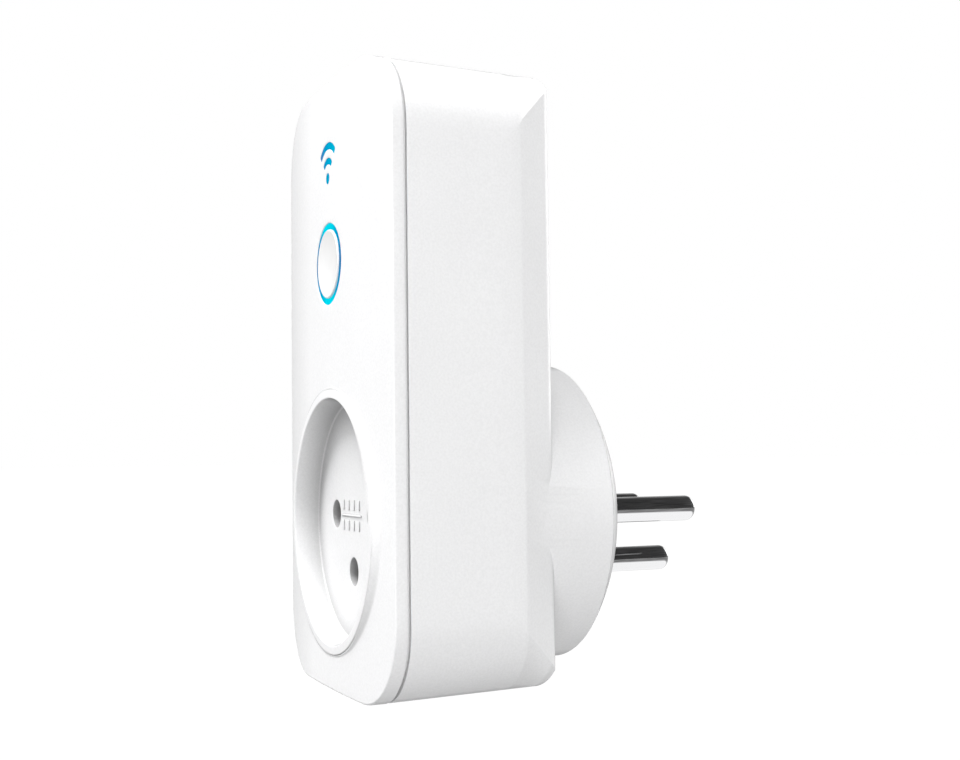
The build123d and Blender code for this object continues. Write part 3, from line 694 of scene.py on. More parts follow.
RIM_BORE_R = 22.28
RIM_TOP_Y = cover_low.y
RIM_SHOULDER_R = 22.5
RIM_SLOPE = 1.1 / 1.2
RIM_FIELD_R = 25.0
RIM_BLEND = 0.35
BORE_STEP_Y = -44.5
RING_OPENING_R = 7.0
SIGN_DOT_R = 0.95
SIGN_ARCS = ((3.0, 1.05), (5.6, 1.15))
SIGN_HALF_ANGLE = 45.0
SIGN_END_ROUND = 0.3
SIGN_CLEARANCE = 0.04
CONTROL_SCREW_PLACES = [(x, z) for x in (-17.5, 17.5) for z in (31.0, 58.0)]
HOOK_PLACES = (-12.0, 12.0)
HOOK_HALF = 3.0
HOOK_Z = (-26.5, -25.3)
HOOK_REACH = 0.9
HOOK_LIP_Y = (-38.4, -37.9)
HOOK_TIP_Y = -37.6
BUTTON_EDGE_ROUND = 0.1
SIGN_EDGE_ROUND = 0.05

# Sizes of screw bosses: radius, pilot radius, y of the end and y of the pilot hole's end.
CONTROL_BOSS = (2.4, 0.92, -40.2, -43.0)
CASE_BOSS = (2.8, 1.22, -27.7, -39.0)
MAIN_BOSS = (2.7, 0.92, -20.0, -17.2)
CLIP_BOSS = (2.6, 1.02, -36.0, -40.8)


def slope_y(radius):
    """Depth of the rim's sloping side."""
    return RIM_TOP_Y + (radius - RIM_SHOULDER_R) * RIM_SLOPE


def rim_foot(angle):
    """Radius at which the rim's sloping side meets the arched front."""
    low, high = RIM_SHOULDER_R, RIM_FIELD_R
    for _ in range(30):
        radius = (low + high) / 2
        if slope_y(radius) < crown_y(radius * math.cos(angle)):
            low = radius
        else:
            high = radius
    return low


def rim_section(angle):
    """Section of the rim at one angle: bore, land, sloping side and a soft foot on the front."""
    foot = rim_foot(angle)
    blend = min(RIM_BLEND, foot - RIM_SHOULDER_R)
    start, end = foot - blend, foot + blend
    section = [(RIM_BORE_R, BORE_STEP_Y), (RIM_BORE_R, RIM_TOP_Y + 0.1)]
    section += [(RIM_BORE_R + 0.03, RIM_TOP_Y + 0.03), (RIM_BORE_R + 0.1, RIM_TOP_Y)]
    section += [(RIM_SHOULDER_R - 0.06, RIM_TOP_Y), (RIM_SHOULDER_R, slope_y(RIM_SHOULDER_R + 0.02))]
    section.append(((RIM_SHOULDER_R + start) / 2, slope_y((RIM_SHOULDER_R + start) / 2)))
    end_y = crown_y(end * math.cos(angle))
    for f in (0.0, 0.2, 0.4, 0.6, 0.8, 1.0):
        weights = ((1 - f) ** 2, 2 * f * (1 - f), f**2)
        radius = sum(w * r for w, r in zip(weights, (start, foot, end)))
        depth = sum(w * y for w, y in zip(weights, (slope_y(start), slope_y(foot), end_y)))
        section.append((radius, depth))
    for radius in ((end + RIM_FIELD_R) / 2, RIM_FIELD_R):
        section.append((radius, crown_y(radius * math.cos(angle))))
    return section


def sign_arc_loop(radius, stroke, grow):
    """One arc of the sign, centred on the dot, with softly rounded ends."""
    outer = radius + stroke / 2 + grow
    inner = radius - stroke / 2 - grow
    lean = math.degrees(SIGN_END_ROUND / radius)
    low = 90 - SIGN_HALF_ANGLE - math.degrees(grow / radius)
    high = 180 - low
    quarter = [(SIGN_END_ROUND * (1 - c), lean * (1 - s)) for s, c in quarter_turn(4)]
    span = [low + lean + (high - low - 2 * lean) * i / 20 for i in range(1, 20)]
    polar = [(outer - drop, low + ease) for drop, ease in reversed(quarter)]
    polar += [(outer, angle) for angle in span]
    polar += [(outer - drop, high - ease) for drop, ease in quarter]
    polar += [(inner + drop, high - ease) for drop, ease in reversed(quarter)]
    polar += [(inner, angle) for angle in reversed(span)]
    polar += [(inner + drop, low + ease) for drop, ease in quarter]
    turns = [(r, math.radians(angle)) for r, angle in polar]
    return [(SIGN_PLACE[0] + r * math.cos(a), SIGN_PLACE[1] + r * math.sin(a)) for r, a in turns]


def sign_loops(grow=0.0):
    arcs = [sign_arc_loop(radius, stroke, grow) for radius, stroke in SIGN_ARCS]
    return [circle(SIGN_DOT_R + grow, SIGN_PLACE, DOT_COUNT)] + arcs


def cover_edge(skin):
    """The cover's rounded front edge, side, seam edge and tongue."""
    outline = body_loop(FRONT_Y)
    edge = FRONT_EDGE_ROUND
    rings = []
    for s, c in quarter_turn(5):
        loop = body_loop(FRONT_Y, inset=edge * (1 - s))
        rings.append(at_depth(loop, lambda x, drop=edge * (1 - c): crown_y(x) + drop))
    rings.append(at_depth(outline, (FRONT_Y + COVER_END_Y) / 2 + edge))
    for s, c in quarter_turn(3):
        loop = body_loop(FRONT_Y, inset=SEAM_ROUND * (1 - c))
        rings.append(at_depth(loop, COVER_END_Y - SEAM_ROUND * (1 - s)))
    tongue = body_loop(FRONT_Y, inset=TONGUE_SET_IN)
    inner = body_loop(FRONT_Y, inset=WALL)
    lead_in_y = TONGUE_END_Y - TONGUE_LEAD_IN
    rings += [at_depth(tongue, COVER_END_Y), at_depth(tongue, lead_in_y)]
    for inset in (TONGUE_SET_IN + TONGUE_LEAD_IN, WALL - TONGUE_LEAD_IN):
        rings.append(at_depth(body_loop(FRONT_Y, inset=inset), TONGUE_END_Y))
    rings += [at_depth(inner, lead_in_y), at_depth(inner, plate_back_y)]
    skin.rings(rings)


def cover_rim(skin):
    """The raised rim around the socket well."""
    angles = [math.tau * i / ROUND_COUNT for i in range(ROUND_COUNT)]
    sections = [rim_section(angle) for angle in angles]
    rings = []
    for level in zip(*sections):
        turns = zip(level, angles)
        rings.append([(r * math.cos(a), y, WELL_PLACE[1] + r * math.sin(a)) for (r, y), a in turns])
    skin.rings(rings)
    bore = circle(RIM_BORE_R, WELL_PLACE)
    skin.rings([at_depth(bore, BORE_STEP_Y), at_depth(bore, plate_back_y)])
    return bore


def snap_hook(skin, x):
    """A hook behind the cover's bottom edge; returns its foot."""
    span = (x - HOOK_HALF, x + HOOK_HALF)
    stem = rectangle(span, HOOK_Z)
    lip = rectangle(span, (HOOK_Z[0] - HOOK_REACH, HOOK_Z[1]))
    tip = at_depth(stem, HOOK_TIP_Y)
    root = [at_depth(stem, plate_back_y), at_depth(stem, HOOK_LIP_Y[0])]
    skin.rings(root + [at_depth(lip, y) for y in HOOK_LIP_Y] + [tip])
    skin.cap(tip)
    return stem


def front_cover():
    skin = Skin()
    cover_edge(skin)
    openings = [(circle(RING_OPENING_R, BUTTON_PLACE), BUTTON_EDGE_ROUND)]
    openings += [(loop, SIGN_EDGE_ROUND) for loop in sign_loops(SIGN_CLEARANCE)]
    front_holes = [circle(RIM_FIELD_R, WELL_PLACE)]
    back_holes = [cover_rim(skin)]
    for loop, soft in openings:
        skin.rings(sunk_edge(loop, soft) + [at_depth(loop, plate_back_y)])
        front_holes.append(grown(loop, soft))
        back_holes.append(loop)
    back_holes += [skin.boss(place, CONTROL_BOSS, plate_back_y) for place in CONTROL_SCREW_PLACES]
    back_holes += [skin.boss(place, CASE_BOSS, plate_back_y) for place in CASE_SCREW_PLACES]
    back_holes += [snap_hook(skin, x) for x in HOOK_PLACES]
    skin.sheet(body_loop(FRONT_Y, inset=FRONT_EDGE_ROUND), front_holes, crown_y, spacing=1.6)
    skin.sheet(body_loop(FRONT_Y, inset=WALL), back_holes, plate_back_y, spacing=2.5)
    dress(skin.build("cover_moulding"), "housing_white", "housing", "front_cover")


# ---- the rear housing

COLLAR_R = 25.9
COLLAR_BORE_R = 23.9
COLLAR_END_Y = housing_high.y
REBATE_END_Y = -40.4
CAVITY_END_Y = BACK_Y - WALL
CAVITY_BEND_Y = -24.0
CAVITY_HALF = 23.4
SCREW_WELL_R = 2.8
SCREW_WELL_FLOOR_Y = -26.0
SCREW_WELL_ROUND = 0.25
SCREW_SEAT_R = 4.0
SCREW_SEAT_THICK = 1.6
SCREW_HOLE_R = 1.35
MAIN_SCREW_PLACES = [(x, z) for x in (-18.5, 18.5) for z in (30.5, 58.0)]
LUG_Y = (-15.5, -13.6)
LUG_HALF = 3.4
LUG_REACH = 7.0
COLLAR_ROOT_Y = -19.0
COLLAR_BORE_Y = (-18.5, -5.0)
COLLAR_OVERLAP = 0.5
COLLAR_END_ROUND = 0.06
CARRIER_SCREW_PLACES = [(x, z) for x in (-17.0, 17.0) for z in (-11.0, 11.0)]


def bevel_profile():
    """(half width, y) along the side: drafted wall, long bevel, and the round into the back."""
    start_half = BODY_WIDTH / 2 - (HOUSING_START_Y - FRONT_Y) * DRAFT
    corners = [(start_half, HOUSING_START_Y), BEVEL_START, (BEVEL_CORNER_X, BACK_Y), (0.0, BACK_Y)]
    return rounded(corners, (0, BEVEL_START_ROUND, BEVEL_END_ROUND, 0), steps=14)[1:-1]


def housing_outside():
    """Rings from the seam back along the drafted walls, bevels and rounded back edge."""
    rings = []
    for s, c in quarter_turn(3):
        loop = body_loop(HOUSING_START_Y, inset=SEAM_ROUND * (1 - s))
        rings.append(at_depth(loop, HOUSING_START_Y + SEAM_ROUND * (1 - c)))
    rings += [at_depth(body_loop(y), y) for y in (-38.0, -33.0, -28.0, -25.0)]
    for half, y in bevel_profile():
        into_round = max(0.0, y - (BACK_Y - BACK_EDGE_ROUND))
        inset = BACK_EDGE_ROUND - math.sqrt(BACK_EDGE_ROUND**2 - min(into_round, BACK_EDGE_ROUND) ** 2)
        rings.append(at_depth(body_loop(y, half, inset), y))
    return rings


def housing_inside():
    """Rings from the cavity's end forward to the rebate and the seam."""
    rings = [at_depth(body_loop(CAVITY_END_Y, CAVITY_HALF, WALL), CAVITY_END_Y)]
    rings.append(at_depth(body_loop(CAVITY_BEND_Y, inset=WALL), CAVITY_BEND_Y))
    rings.append(at_depth(body_loop(REBATE_END_Y, inset=WALL), REBATE_END_Y))
    rebate = TONGUE_SET_IN - 0.1
    rings.append(at_depth(body_loop(REBATE_END_Y, inset=rebate), REBATE_END_Y))
    rings.append(at_depth(body_loop(HOUSING_START_Y, inset=rebate), HOUSING_START_Y))
    return rings


def screw_well(skin, place):
    """A deep recess with a rounded mouth, and the boss behind it; returns both ends' loops."""
    seat_back_y = SCREW_WELL_FLOOR_Y - SCREW_SEAT_THICK
    corners = [(SCREW_SEAT_R, BACK_Y), (SCREW_WELL_R, BACK_Y), (SCREW_WELL_R, SCREW_WELL_FLOOR_Y)]
    mouth = rounded(corners, (0, SCREW_WELL_ROUND, 0))[1:]
    rest = [(SCREW_HOLE_R, SCREW_WELL_FLOOR_Y), (SCREW_HOLE_R, seat_back_y)]
    rest += [(SCREW_SEAT_R, seat_back_y), (SCREW_SEAT_R, CAVITY_END_Y)]
    skin.turned(mouth + rest, place, SMALL_COUNT)
    return circle(mouth[0][0], place, SMALL_COUNT), circle(SCREW_SEAT_R, place, SMALL_COUNT)


def housing_shell():
    skin = Skin()
    skin.rings(housing_inside() + housing_outside())
    back_half = bevel_profile()[-1][0]
    wells = [screw_well(skin, place) for place in CASE_SCREW_PLACES]
    back_holes = [mouth for mouth, _ in wells]
    cavity_holes = [foot for _, foot in wells]
    cavity_holes += [skin.boss(place, MAIN_BOSS, CAVITY_END_Y) for place in MAIN_SCREW_PLACES]
    skin.sheet(body_loop(BACK_Y, back_half, BACK_EDGE_ROUND), back_holes, BACK_Y, spacing=2.5)
    skin.sheet(body_loop(CAVITY_END_Y, CAVITY_HALF, WALL), cavity_holes, CAVITY_END_Y, spacing=3.0)
    return skin.build("housing_moulding")


def collar_tube():
    """A straight tube that starts inside the back wall, with a rounded outer end."""
    skin = Skin()
    inner = COLLAR_BORE_R - COLLAR_OVERLAP
    outer_side = [(COLLAR_R, COLLAR_ROOT_Y), (COLLAR_R, COLLAR_END_Y)]
    inner_side = [(inner, COLLAR_END_Y), (inner, COLLAR_ROOT_Y)]
    section = rounded(outer_side + inner_side, (0, COLLAR_END_ROUND, 0, 0))
    skin.turned(section + section[:1])
    return skin.build("collar_tube")


def collar_bore():
    """A solid plug that cuts the collar's bore through to the cavity."""
    skin = Skin()
    start_y, end_y = COLLAR_BORE_Y
    skin.turned([(0.0, start_y), (COLLAR_BORE_R, start_y), (COLLAR_BORE_R, end_y), (0.0, end_y)])
    return skin.build("collar_bore")


def carrier_lugs():
    """Four lugs for the screws that hold the pin carrier, rooted in the collar's wall."""
    skin = Skin()
    for x, z in CARRIER_SCREW_PLACES:
        near_x = abs(x) - LUG_HALF
        x_span = sorted((math.copysign(near_x, x), math.copysign(near_x + LUG_REACH, x)))
        outline = rectangle(x_span, (z - LUG_HALF, z + LUG_HALF))
        hole = circle(SCREW_HOLE_R, (x, z), DOT_COUNT)
        for loop in (outline, hole):
            skin.rings([at_depth(loop, y) for y in LUG_Y])
        for y in LUG_Y:
            skin.sheet(outline, [hole], y, spacing=2.0)
    return skin.build("carrier_lugs")


def rear_housing():
    housing = combined(housing_shell(), collar_tube(), "UNION")
    housing = combined(housing, collar_bore(), "DIFFERENCE")
    housing = combined(housing, carrier_lugs(), "UNION")
    dress(housing, "housing_white", "housing", "rear_housing")


# ---- well, carrier and pins

HOLE_R = 2.4
FLOOR_R = 20.2
FLOOR_Y = -42.2
FLOOR_BACK_Y = -40.2
FLOOR_EDGE_R = 19.0
BACK_FACE_R = 21.0
SLEEVE_R = 4.2
SLEEVE_END_Y = -37.0
LIP_Y = box_mm("socket_well")[0].y
LIP_R = 20.75
WELL_R = 22.25
FLANGE_R = 24.4
FLANGE_Y = (-43.1, -42.0)
MOUTH_R = 4.0
CLIP_SCREW_X = 17.5
MARK_X = -0.9
MARK_RISE = 0.22
MARK_ROUND = 0.09
MARK_CORNER_R = 0.14
DIVIDER_SIZE = (10.8, 0.32)
RIDGE_SIZE = (0.55, 1.7)
RIDGE_X = (-4.2, -1.4, 1.4, 4.2)
RIDGE_Z = (-1.75, 1.75)


def raised_bar(skin, centre, size):
    """A low bar on the well floor with rounded corners and edges; returns its foot."""
    levels = [(0.0, 0.0)]
    levels += [(MARK_ROUND * (1 - c), MARK_RISE - MARK_ROUND * (1 - s)) for s, c in quarter_turn(3)]
    rings = []
    for inset, rise in levels:
        halves = [length / 2 - inset for length in size]
        spans = [(place - half, place + half) for place, half in zip(centre, halves)]
        loop = rounded(rectangle(*spans), [MARK_CORNER_R - inset] * 4, steps=4)
        rings.append(at_depth(loop, FLOOR_Y - rise))
    skin.rings(rings)
    skin.cap(rings[-1])
    return [(x, z) for x, _, z in rings[0]]


def floor_mark(skin):
    """A plain divider with short ridges above and below it."""
    feet = [raised_bar(skin, (MARK_X, 0.0), DIVIDER_SIZE)]
    feet += [raised_bar(skin, (MARK_X + x, z), RIDGE_SIZE) for x in RIDGE_X for z in RIDGE_Z]
    return feet


def socket_well():
    skin = Skin()
    corners = [
        (FLOOR_EDGE_R, FLOOR_Y), (FLOOR_R, FLOOR_Y), (LIP_R, LIP_Y), (WELL_R, LIP_Y + 0.08),
        (WELL_R, FLANGE_Y[0]), (FLANGE_R, FLANGE_Y[0]), (FLANGE_R, FLANGE_Y[1]), (WELL_R, FLANGE_Y[1]),
        (WELL_R, FLOOR_BACK_Y), (BACK_FACE_R, FLOOR_BACK_Y),
    ]
    skin.turned(rounded(corners, (0, 0.35, 0.22, 0.2, 0, 0.1, 0.1, 0, 0.1, 0)), WELL_PLACE)
    front_holes = floor_mark(skin)
    back_holes = []
    for place in PIN_PLACES.values():
        corners = [(MOUTH_R, FLOOR_Y), (HOLE_R, FLOOR_Y), (HOLE_R, SLEEVE_END_Y)]
        corners += [(SLEEVE_R, SLEEVE_END_Y), (SLEEVE_R, FLOOR_BACK_Y)]
        sleeve = rounded(corners, (0, 0.15, 0.1, 0.2, 0))[1:]
        skin.turned(sleeve, place, SMALL_COUNT)
        front_holes.append(circle(sleeve[0][0], place, SMALL_COUNT))
        back_holes.append(circle(SLEEVE_R, place, SMALL_COUNT))
    for x in (-CLIP_SCREW_X, CLIP_SCREW_X):
        back_holes.append(skin.boss((x, WELL_PLACE[1]), CLIP_BOSS, FLOOR_BACK_Y))
    skin.sheet(circle(FLOOR_EDGE_R, WELL_PLACE), front_holes, FLOOR_Y, spacing=1.2)
    skin.sheet(circle(BACK_FACE_R, WELL_PLACE), back_holes, FLOOR_BACK_Y, spacing=2.0)
    dress(skin.build("well_moulding"), "housing_white", "housing", "socket_well")


CARRIER_FLAT_R = 13.5
CARRIER_DOME = ((CARRIER_FLAT_R, 0.0), (20.3, -2.35), (25.85, -6.1))
CARRIER_DOME_STEPS = 24
CARRIER_FACE_R = 12.6
CARRIER_PLATE_Y = -4.0
CARRIER_BACK_R = 14.6
CARRIER_PLATE_DROP = 2.0
SEAT_GAP = 0.01
SPIGOT_GAP = 0.1
SPIGOT_WALL = 2.0
SPIGOT_DEPTH = 3.0
BORE_MOUTH_R = 3.5
PIN_RELIEF = (2.37, -0.3)
PIN_GAP = 0.02
PIN_BOSS_R = 4.5
PIN_BOSS_Y = -12.2
PIN_NECK_R = 2.0
PIN_RIB_R = 2.9
PIN_RIB_Y = (-8.0, -6.0)
PIN_R = 2.25
PIN_TIP_ROUND = 1.5
PIN_TIP_STEPS = 12
PIN_SHANK_STEPS = 8
PIN_STUB_R = 1.2
PIN_STUB_Y = -13.2


def arc_through(a, b, c, steps):
    """Points along the arc through three points."""
    a, b, c = Vector(a), Vector(b), Vector(c)
    first, second = b - a, c - a
    twice = 2 * first.cross(second)
    to_middle = Vector((
        second.y * first.length_squared - first.y * second.length_squared,
        first.x * second.length_squared - second.x * first.length_squared,
    )) / twice
    middle = a + to_middle
    start, end = (math.degrees(math.atan2(p.y - middle.y, p.x - middle.x)) for p in (a, c))
    return arc_points(middle, to_middle.length, start, end, steps)


def neck_points(start_y, gap):
    """A pin's ribbed neck, or with a gap the bore around it."""
    neck, rib = PIN_NECK_R + gap, PIN_RIB_R + gap
    back, front = PIN_RIB_Y
    return [(neck, start_y), (neck, front), (rib, front), (rib, back), (neck, back), (neck, PIN_BOSS_Y)]


def pin_carrier():
    skin = Skin()
    end_y = CARRIER_DOME[-1][1]
    outer = COLLAR_BORE_R - SPIGOT_GAP
    inner = outer - SPIGOT_WALL
    corners = [
        (COLLAR_R - SPIGOT_GAP, end_y - SEAT_GAP), (outer, end_y - SEAT_GAP), (outer, end_y - SPIGOT_DEPTH),
        (inner, end_y - SPIGOT_DEPTH), (inner, CARRIER_PLATE_Y - CARRIER_PLATE_DROP),
        (CARRIER_BACK_R, CARRIER_PLATE_Y),
    ]
    rest = rounded(corners, (0, 0, 0.3, 0, 0.5, 0))
    skin.turned([(CARRIER_FACE_R, 0.0)] + arc_through(*CARRIER_DOME, CARRIER_DOME_STEPS) + rest)
    face_holes, back_holes = [], []
    relief_r, relief_y = PIN_RELIEF
    corners = [(BORE_MOUTH_R, 0.0), (relief_r, 0.0), (relief_r, relief_y)]
    corners += neck_points(relief_y, PIN_GAP)
    corners += [(PIN_BOSS_R, PIN_BOSS_Y), (PIN_BOSS_R, CARRIER_PLATE_Y)]
    bore = rounded(corners, (0, 0.08, 0, 0, 0, 0, 0, 0, 0, 0.3, 0), steps=3)[1:]
    for place in PIN_PLACES.values():
        skin.turned(bore, place, SMALL_COUNT)
        face_holes.append(circle(bore[0][0], place, SMALL_COUNT))
        back_holes.append(circle(PIN_BOSS_R, place, SMALL_COUNT))
    skin.sheet(circle(CARRIER_FACE_R), face_holes, 0.0, spacing=1.2)
    skin.sheet(circle(CARRIER_BACK_R), back_holes, CARRIER_PLATE_Y, spacing=2.0)
    dress(skin.build("carrier_moulding"), "housing_white", "housing", "pin_carrier")


def contact_pin(name):
    """A plated pin: rounded tip, straight shank, and a ribbed neck inside the carrier."""
    end_y = box_mm(f"{name}_pin")[1].y
    shank_y = end_y - PIN_TIP_ROUND
    corners = [(0.0, end_y), (PIN_R, end_y), (PIN_R, 0.0)] + neck_points(0.0, 0.0)
    corners += [(PIN_STUB_R, PIN_BOSS_Y), (PIN_STUB_R, PIN_STUB_Y), (0.0, PIN_STUB_Y)]
    radii = (0, PIN_TIP_ROUND, 0.08, 0, 0, 0.1, 0.1, 0, 0, 0, 0.15, 0)
    profile = rounded(corners, radii, steps=PIN_TIP_STEPS)
    tip_count = PIN_TIP_STEPS + 2
    shank = [(PIN_R, shank_y * (1 - i / PIN_SHANK_STEPS)) for i in range(1, PIN_SHANK_STEPS)]
    skin = Skin()
    skin.turned(profile[:tip_count] + shank + profile[tip_count:], PIN_PLACES[name], PIN_COUNT)
    dress(skin.build(f"{name}_contact_pin"), "pin_nickel", "housing", f"{name}_pin")


# ---- button, ring and sign

DISH_R = 5.2
DISH_DEPTH = 0.45
DISH_STEPS = 15
DISH_DROP = 0.08
CAP_CREST_R = 5.6
CAP_R = 5.9
CAP_FOOT_R = 6.6
CAP_FOOT_Y = (-43.95, -43.2)
CAP_HOLLOW = ((1.5, 4.9), -44.9)
CAP_STEM_END_Y = -43.45
RING_BORE_R = 6.0
RING_BORE_END_Y = -44.0
RING_R = 6.95
RING_FLANGE_R = 8.6
RING_FLANGE_Y = (-44.2, -43.2)
RING_SKIRT_R = (6.75, 8.0)
GUIDE_END_Y = -41.2
SIGN_SINK = 0.02
SIGN_PLATE_Y = (-44.4, -43.4)
SIGN_PLATE_X = (-8.0, 8.0)
SIGN_PLATE_Z = (SIGN_PLACE[1] - 3.0, SIGN_PLACE[1] + 7.6)
SIGN_FOOT_X = (-1.2, 1.2)
SIGN_FOOT_Z = (58.9, 61.1)


def button_cap():
    """A dished cap with a fine raised lip, a retaining foot and a stem for the switch."""
    front_y = box_mm("button_cap")[0].y
    dish = []
    for i in range(DISH_STEPS + 1):
        part = i / DISH_STEPS
        dish.append((DISH_R * part, front_y + DISH_DROP + DISH_DEPTH * (1 - part**2)))
    foot_y, back_y = CAP_FOOT_Y
    (stem_r, hollow_r), hollow_y = CAP_HOLLOW
    corners = [dish[-1], (CAP_CREST_R, front_y - 0.01), (CAP_R, front_y + 0.04), (CAP_R, foot_y)]
    corners += [(CAP_FOOT_R, foot_y), (CAP_FOOT_R, back_y), (hollow_r, back_y), (hollow_r, hollow_y)]
    corners += [(stem_r, hollow_y), (stem_r, CAP_STEM_END_Y), (0.0, CAP_STEM_END_Y)]
    rest = rounded(corners, (0, 0.3, 0.27, 0, 0.1, 0.1, 0.1, 0.3, 0.2, 0.15, 0))
    skin = Skin()
    skin.turned(dish + rest[1:], BUTTON_PLACE)
    dress(skin.build("button_moulding"), "button_white", "button", "button_cap")


def light_ring():
    """A ring around the button with a flange behind the cover and a skirt down to its lamps."""
    front_y = box_mm("light_ring")[0].y
    flange_y, flange_back_y = RING_FLANGE_Y
    skirt_inner, skirt_outer = RING_SKIRT_R
    corners = [(RING_BORE_R, RING_BORE_END_Y), (RING_BORE_R, front_y), (RING_R, front_y)]
    corners += [(RING_R, flange_y), (RING_FLANGE_R, flange_y), (RING_FLANGE_R, flange_back_y)]
    corners += [(skirt_outer, flange_back_y), (skirt_outer, GUIDE_END_Y), (skirt_inner, GUIDE_END_Y)]
    corners.append((skirt_inner, RING_BORE_END_Y))
    section = rounded(corners, (0, 0.16, 0.08, 0, 0.1, 0, 0, 0, 0, 0))
    skin = Skin()
    skin.turned(section + section[:1], BUTTON_PLACE)
    dress(skin.build("ring_light_guide"), "ring_blue", "housing", "light_ring")


def signal_light_guide():
    """A clear plate behind the cover whose raised dot and arcs fill the cover's openings."""
    skin = Skin()
    front_y, back_y = SIGN_PLATE_Y
    loops = sign_loops()
    for loop in loops:
        rings = [at_depth(loop, front_y)]
        for s, c in quarter_turn(3):
            ring = grown(loop, -SIGN_EDGE_ROUND * (1 - c))
            sink = SIGN_SINK + SIGN_EDGE_ROUND * (1 - s)
            rings.append(at_depth(ring, lambda x, drop=sink: crown_y(x) + drop))
        skin.rings(rings)
        top = [(x, z) for x, _, z in rings[-1]]
        skin.sheet(top, [], lambda x: crown_y(x) + SIGN_SINK, spacing=0.5)
    plate = rectangle(SIGN_PLATE_X, SIGN_PLATE_Z)
    foot = rectangle(SIGN_FOOT_X, SIGN_FOOT_Z)
    foot_end = at_depth(foot, GUIDE_END_Y)
    skin.rings([at_depth(plate, y) for y in SIGN_PLATE_Y])
    skin.rings([at_depth(foot, back_y), foot_end])
    skin.cap(foot_end)
    skin.sheet(plate, loops, front_y, spacing=1.0)
    skin.sheet(plate, [foot], back_y, spacing=2.0)
    dress(skin.build("sign_light_guide"), "sign_blue", "housing", "signal_light_guide")


# ---- the setting

CAMERA_OFFSET = Vector((0.21894, -0.11323, 0.01014))
CAMERA_YAW = 66.584
CAMERA_PITCH = 3.173
CAMERA_ROLL = -0.712
LENS_MM = 50.286
SENSOR_MM = 36
NEAREST_SEEN = 10 * MM

LEFT_GLOW = 0.76
BACK_GLOW = 0.32
ROOM_GLOW = 0.02
FLOOR_GLOW = 0.37
FLOOR_HALF = 6.0

# Each softbox: its place and side in metres, and its power in watts. All point at the plug's middle.
SOFTBOXES = {
    "key": ((0.0, -0.5, 1.0), 0.5, 15.8),
    "front_fill": ((-0.35, -0.8, 0.75), 0.5, 3.6),
    "top": ((0.1, 0.1, 1.1), 0.6, 2.2),
    "side": ((1.1, -0.15, 0.15), 0.7, 13.2),
    "low_front": ((0.0, -1.1, 0.1), 0.5, 2.1),
    "back": ((-0.35, 1.0, 0.3), 0.6, 5.2),
}


def make_camera():
    yaw, pitch, roll = (math.radians(a) for a in (CAMERA_YAW, CAMERA_PITCH, CAMERA_ROLL))
    ahead = Vector((-math.sin(yaw) * math.cos(pitch), math.cos(yaw) * math.cos(pitch), math.sin(pitch)))
    level_right = ahead.cross(Vector((0, 0, 1))).normalized()
    level_up = level_right.cross(ahead)
    right = math.cos(roll) * level_right + math.sin(roll) * level_up
    up = math.cos(roll) * level_up - math.sin(roll) * level_right
    data = bpy.data.cameras.new("camera")
    data.lens = LENS_MM
    data.sensor_width = SENSOR_MM
    data.clip_start = NEAREST_SEEN
    camera = bpy.data.objects.new("camera", data)
    turn = Matrix((right, up, -ahead)).transposed().to_4x4()
    camera.matrix_world = Matrix.Translation(CAMERA_OFFSET) @ turn
    scene.collection.objects.link(camera)
    scene.camera = camera


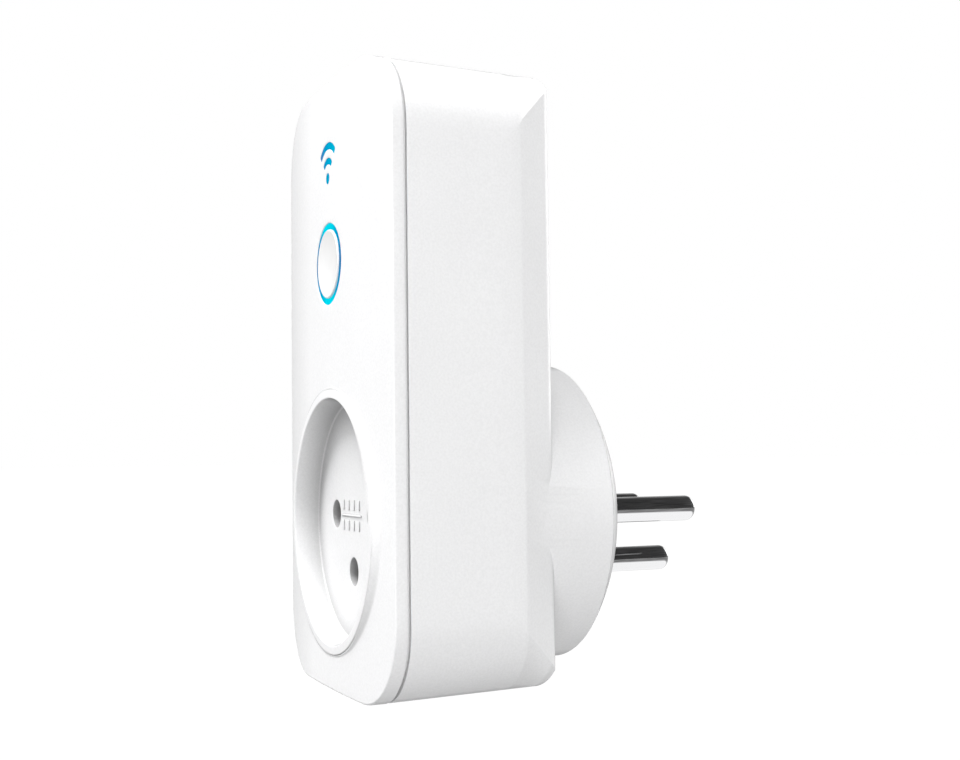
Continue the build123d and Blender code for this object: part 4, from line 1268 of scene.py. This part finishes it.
def make_world():
    """Seen directly the room is white; as light it is a soft glow from the left and from behind."""
    world = bpy.data.worlds.new("studio")
    scene.world = world
    world.use_nodes = True
    tree = world.node_tree
    tree.nodes.clear()
    parts = parts_of(tree, add(tree, "ShaderNodeTexCoord").outputs["Generated"])
    left = between(tree, parts["X"], -0.3, -0.7, 0.0, LEFT_GLOW)
    behind = between(tree, parts["Y"], 0.3, 0.7, ROOM_GLOW, BACK_GLOW)
    lit = add(tree, "ShaderNodeBackground", Color=(1, 1, 1, 1))
    wire(tree, maths(tree, "MAXIMUM", left, behind), lit.inputs["Strength"])
    seen = add(tree, "ShaderNodeBackground", Color=(1, 1, 1, 1), Strength=1.0)
    path = add(tree, "ShaderNodeLightPath")
    mix = add(tree, "ShaderNodeMixShader")
    wire(tree, path.outputs["Is Camera Ray"], mix.inputs["Fac"])
    wire(tree, lit.outputs[0], mix.inputs[1])
    wire(tree, seen.outputs[0], mix.inputs[2])
    output = add(tree, "ShaderNodeOutputWorld")
    wire(tree, mix.outputs[0], output.inputs["Surface"])


def softbox(name, place, side, power):
    data = bpy.data.lights.new(name, "AREA")
    data.size = side
    data.energy = power
    lamp = bpy.data.objects.new(name, data)
    turn = (centre - Vector(place)).to_track_quat("-Z", "Y").to_matrix().to_4x4()
    lamp.matrix_world = Matrix.Translation(Vector(place)) @ turn
    scene.collection.objects.link(lamp)


def make_lights():
    for name, settings in SOFTBOXES.items():
        softbox(name, *settings)


def make_floor():
    """A plain pale floor: it looks white and gives a little light from below."""
    corners = [(x * FLOOR_HALF, y * FLOOR_HALF) for x, y in ((-1, -1), (1, -1), (1, 1), (-1, 1))]
    mesh = bpy.data.meshes.new("floor")
    mesh.from_pydata([(x, y, cad_box[0].z) for x, y in corners], [], [(0, 1, 2, 3)])
    floor = bpy.data.objects.new("floor", mesh)
    scene.collection.objects.link(floor)
    material, tree, shader = new_material("floor")
    wire(tree, mottled(tree, (0.03, 0.03, 0.03), 3, 0.05), shader.inputs["Base Color"])
    set_inputs(shader, Roughness=0.9, Specular_IOR_Level=0.0, Emission_Color=(1, 1, 1, 1))
    path = add(tree, "ShaderNodeLightPath")
    direct = maths(tree, "MAXIMUM", path.outputs["Is Camera Ray"], path.outputs["Is Glossy Ray"])
    glow = between(tree, direct, 0, 1, FLOOR_GLOW, 1.0)
    wire(tree, glow, shader.inputs["Emission Strength"])
    mesh.materials.append(material)


paint_cad_nodes()
front_cover()
rear_housing()
socket_well()
pin_carrier()
for name in PIN_PLACES:
    contact_pin(name)
button_cap()
light_ring()
signal_light_guide()
make_camera()
make_world()
make_lights()
make_floor()
scene.view_settings.view_transform = "Standard"
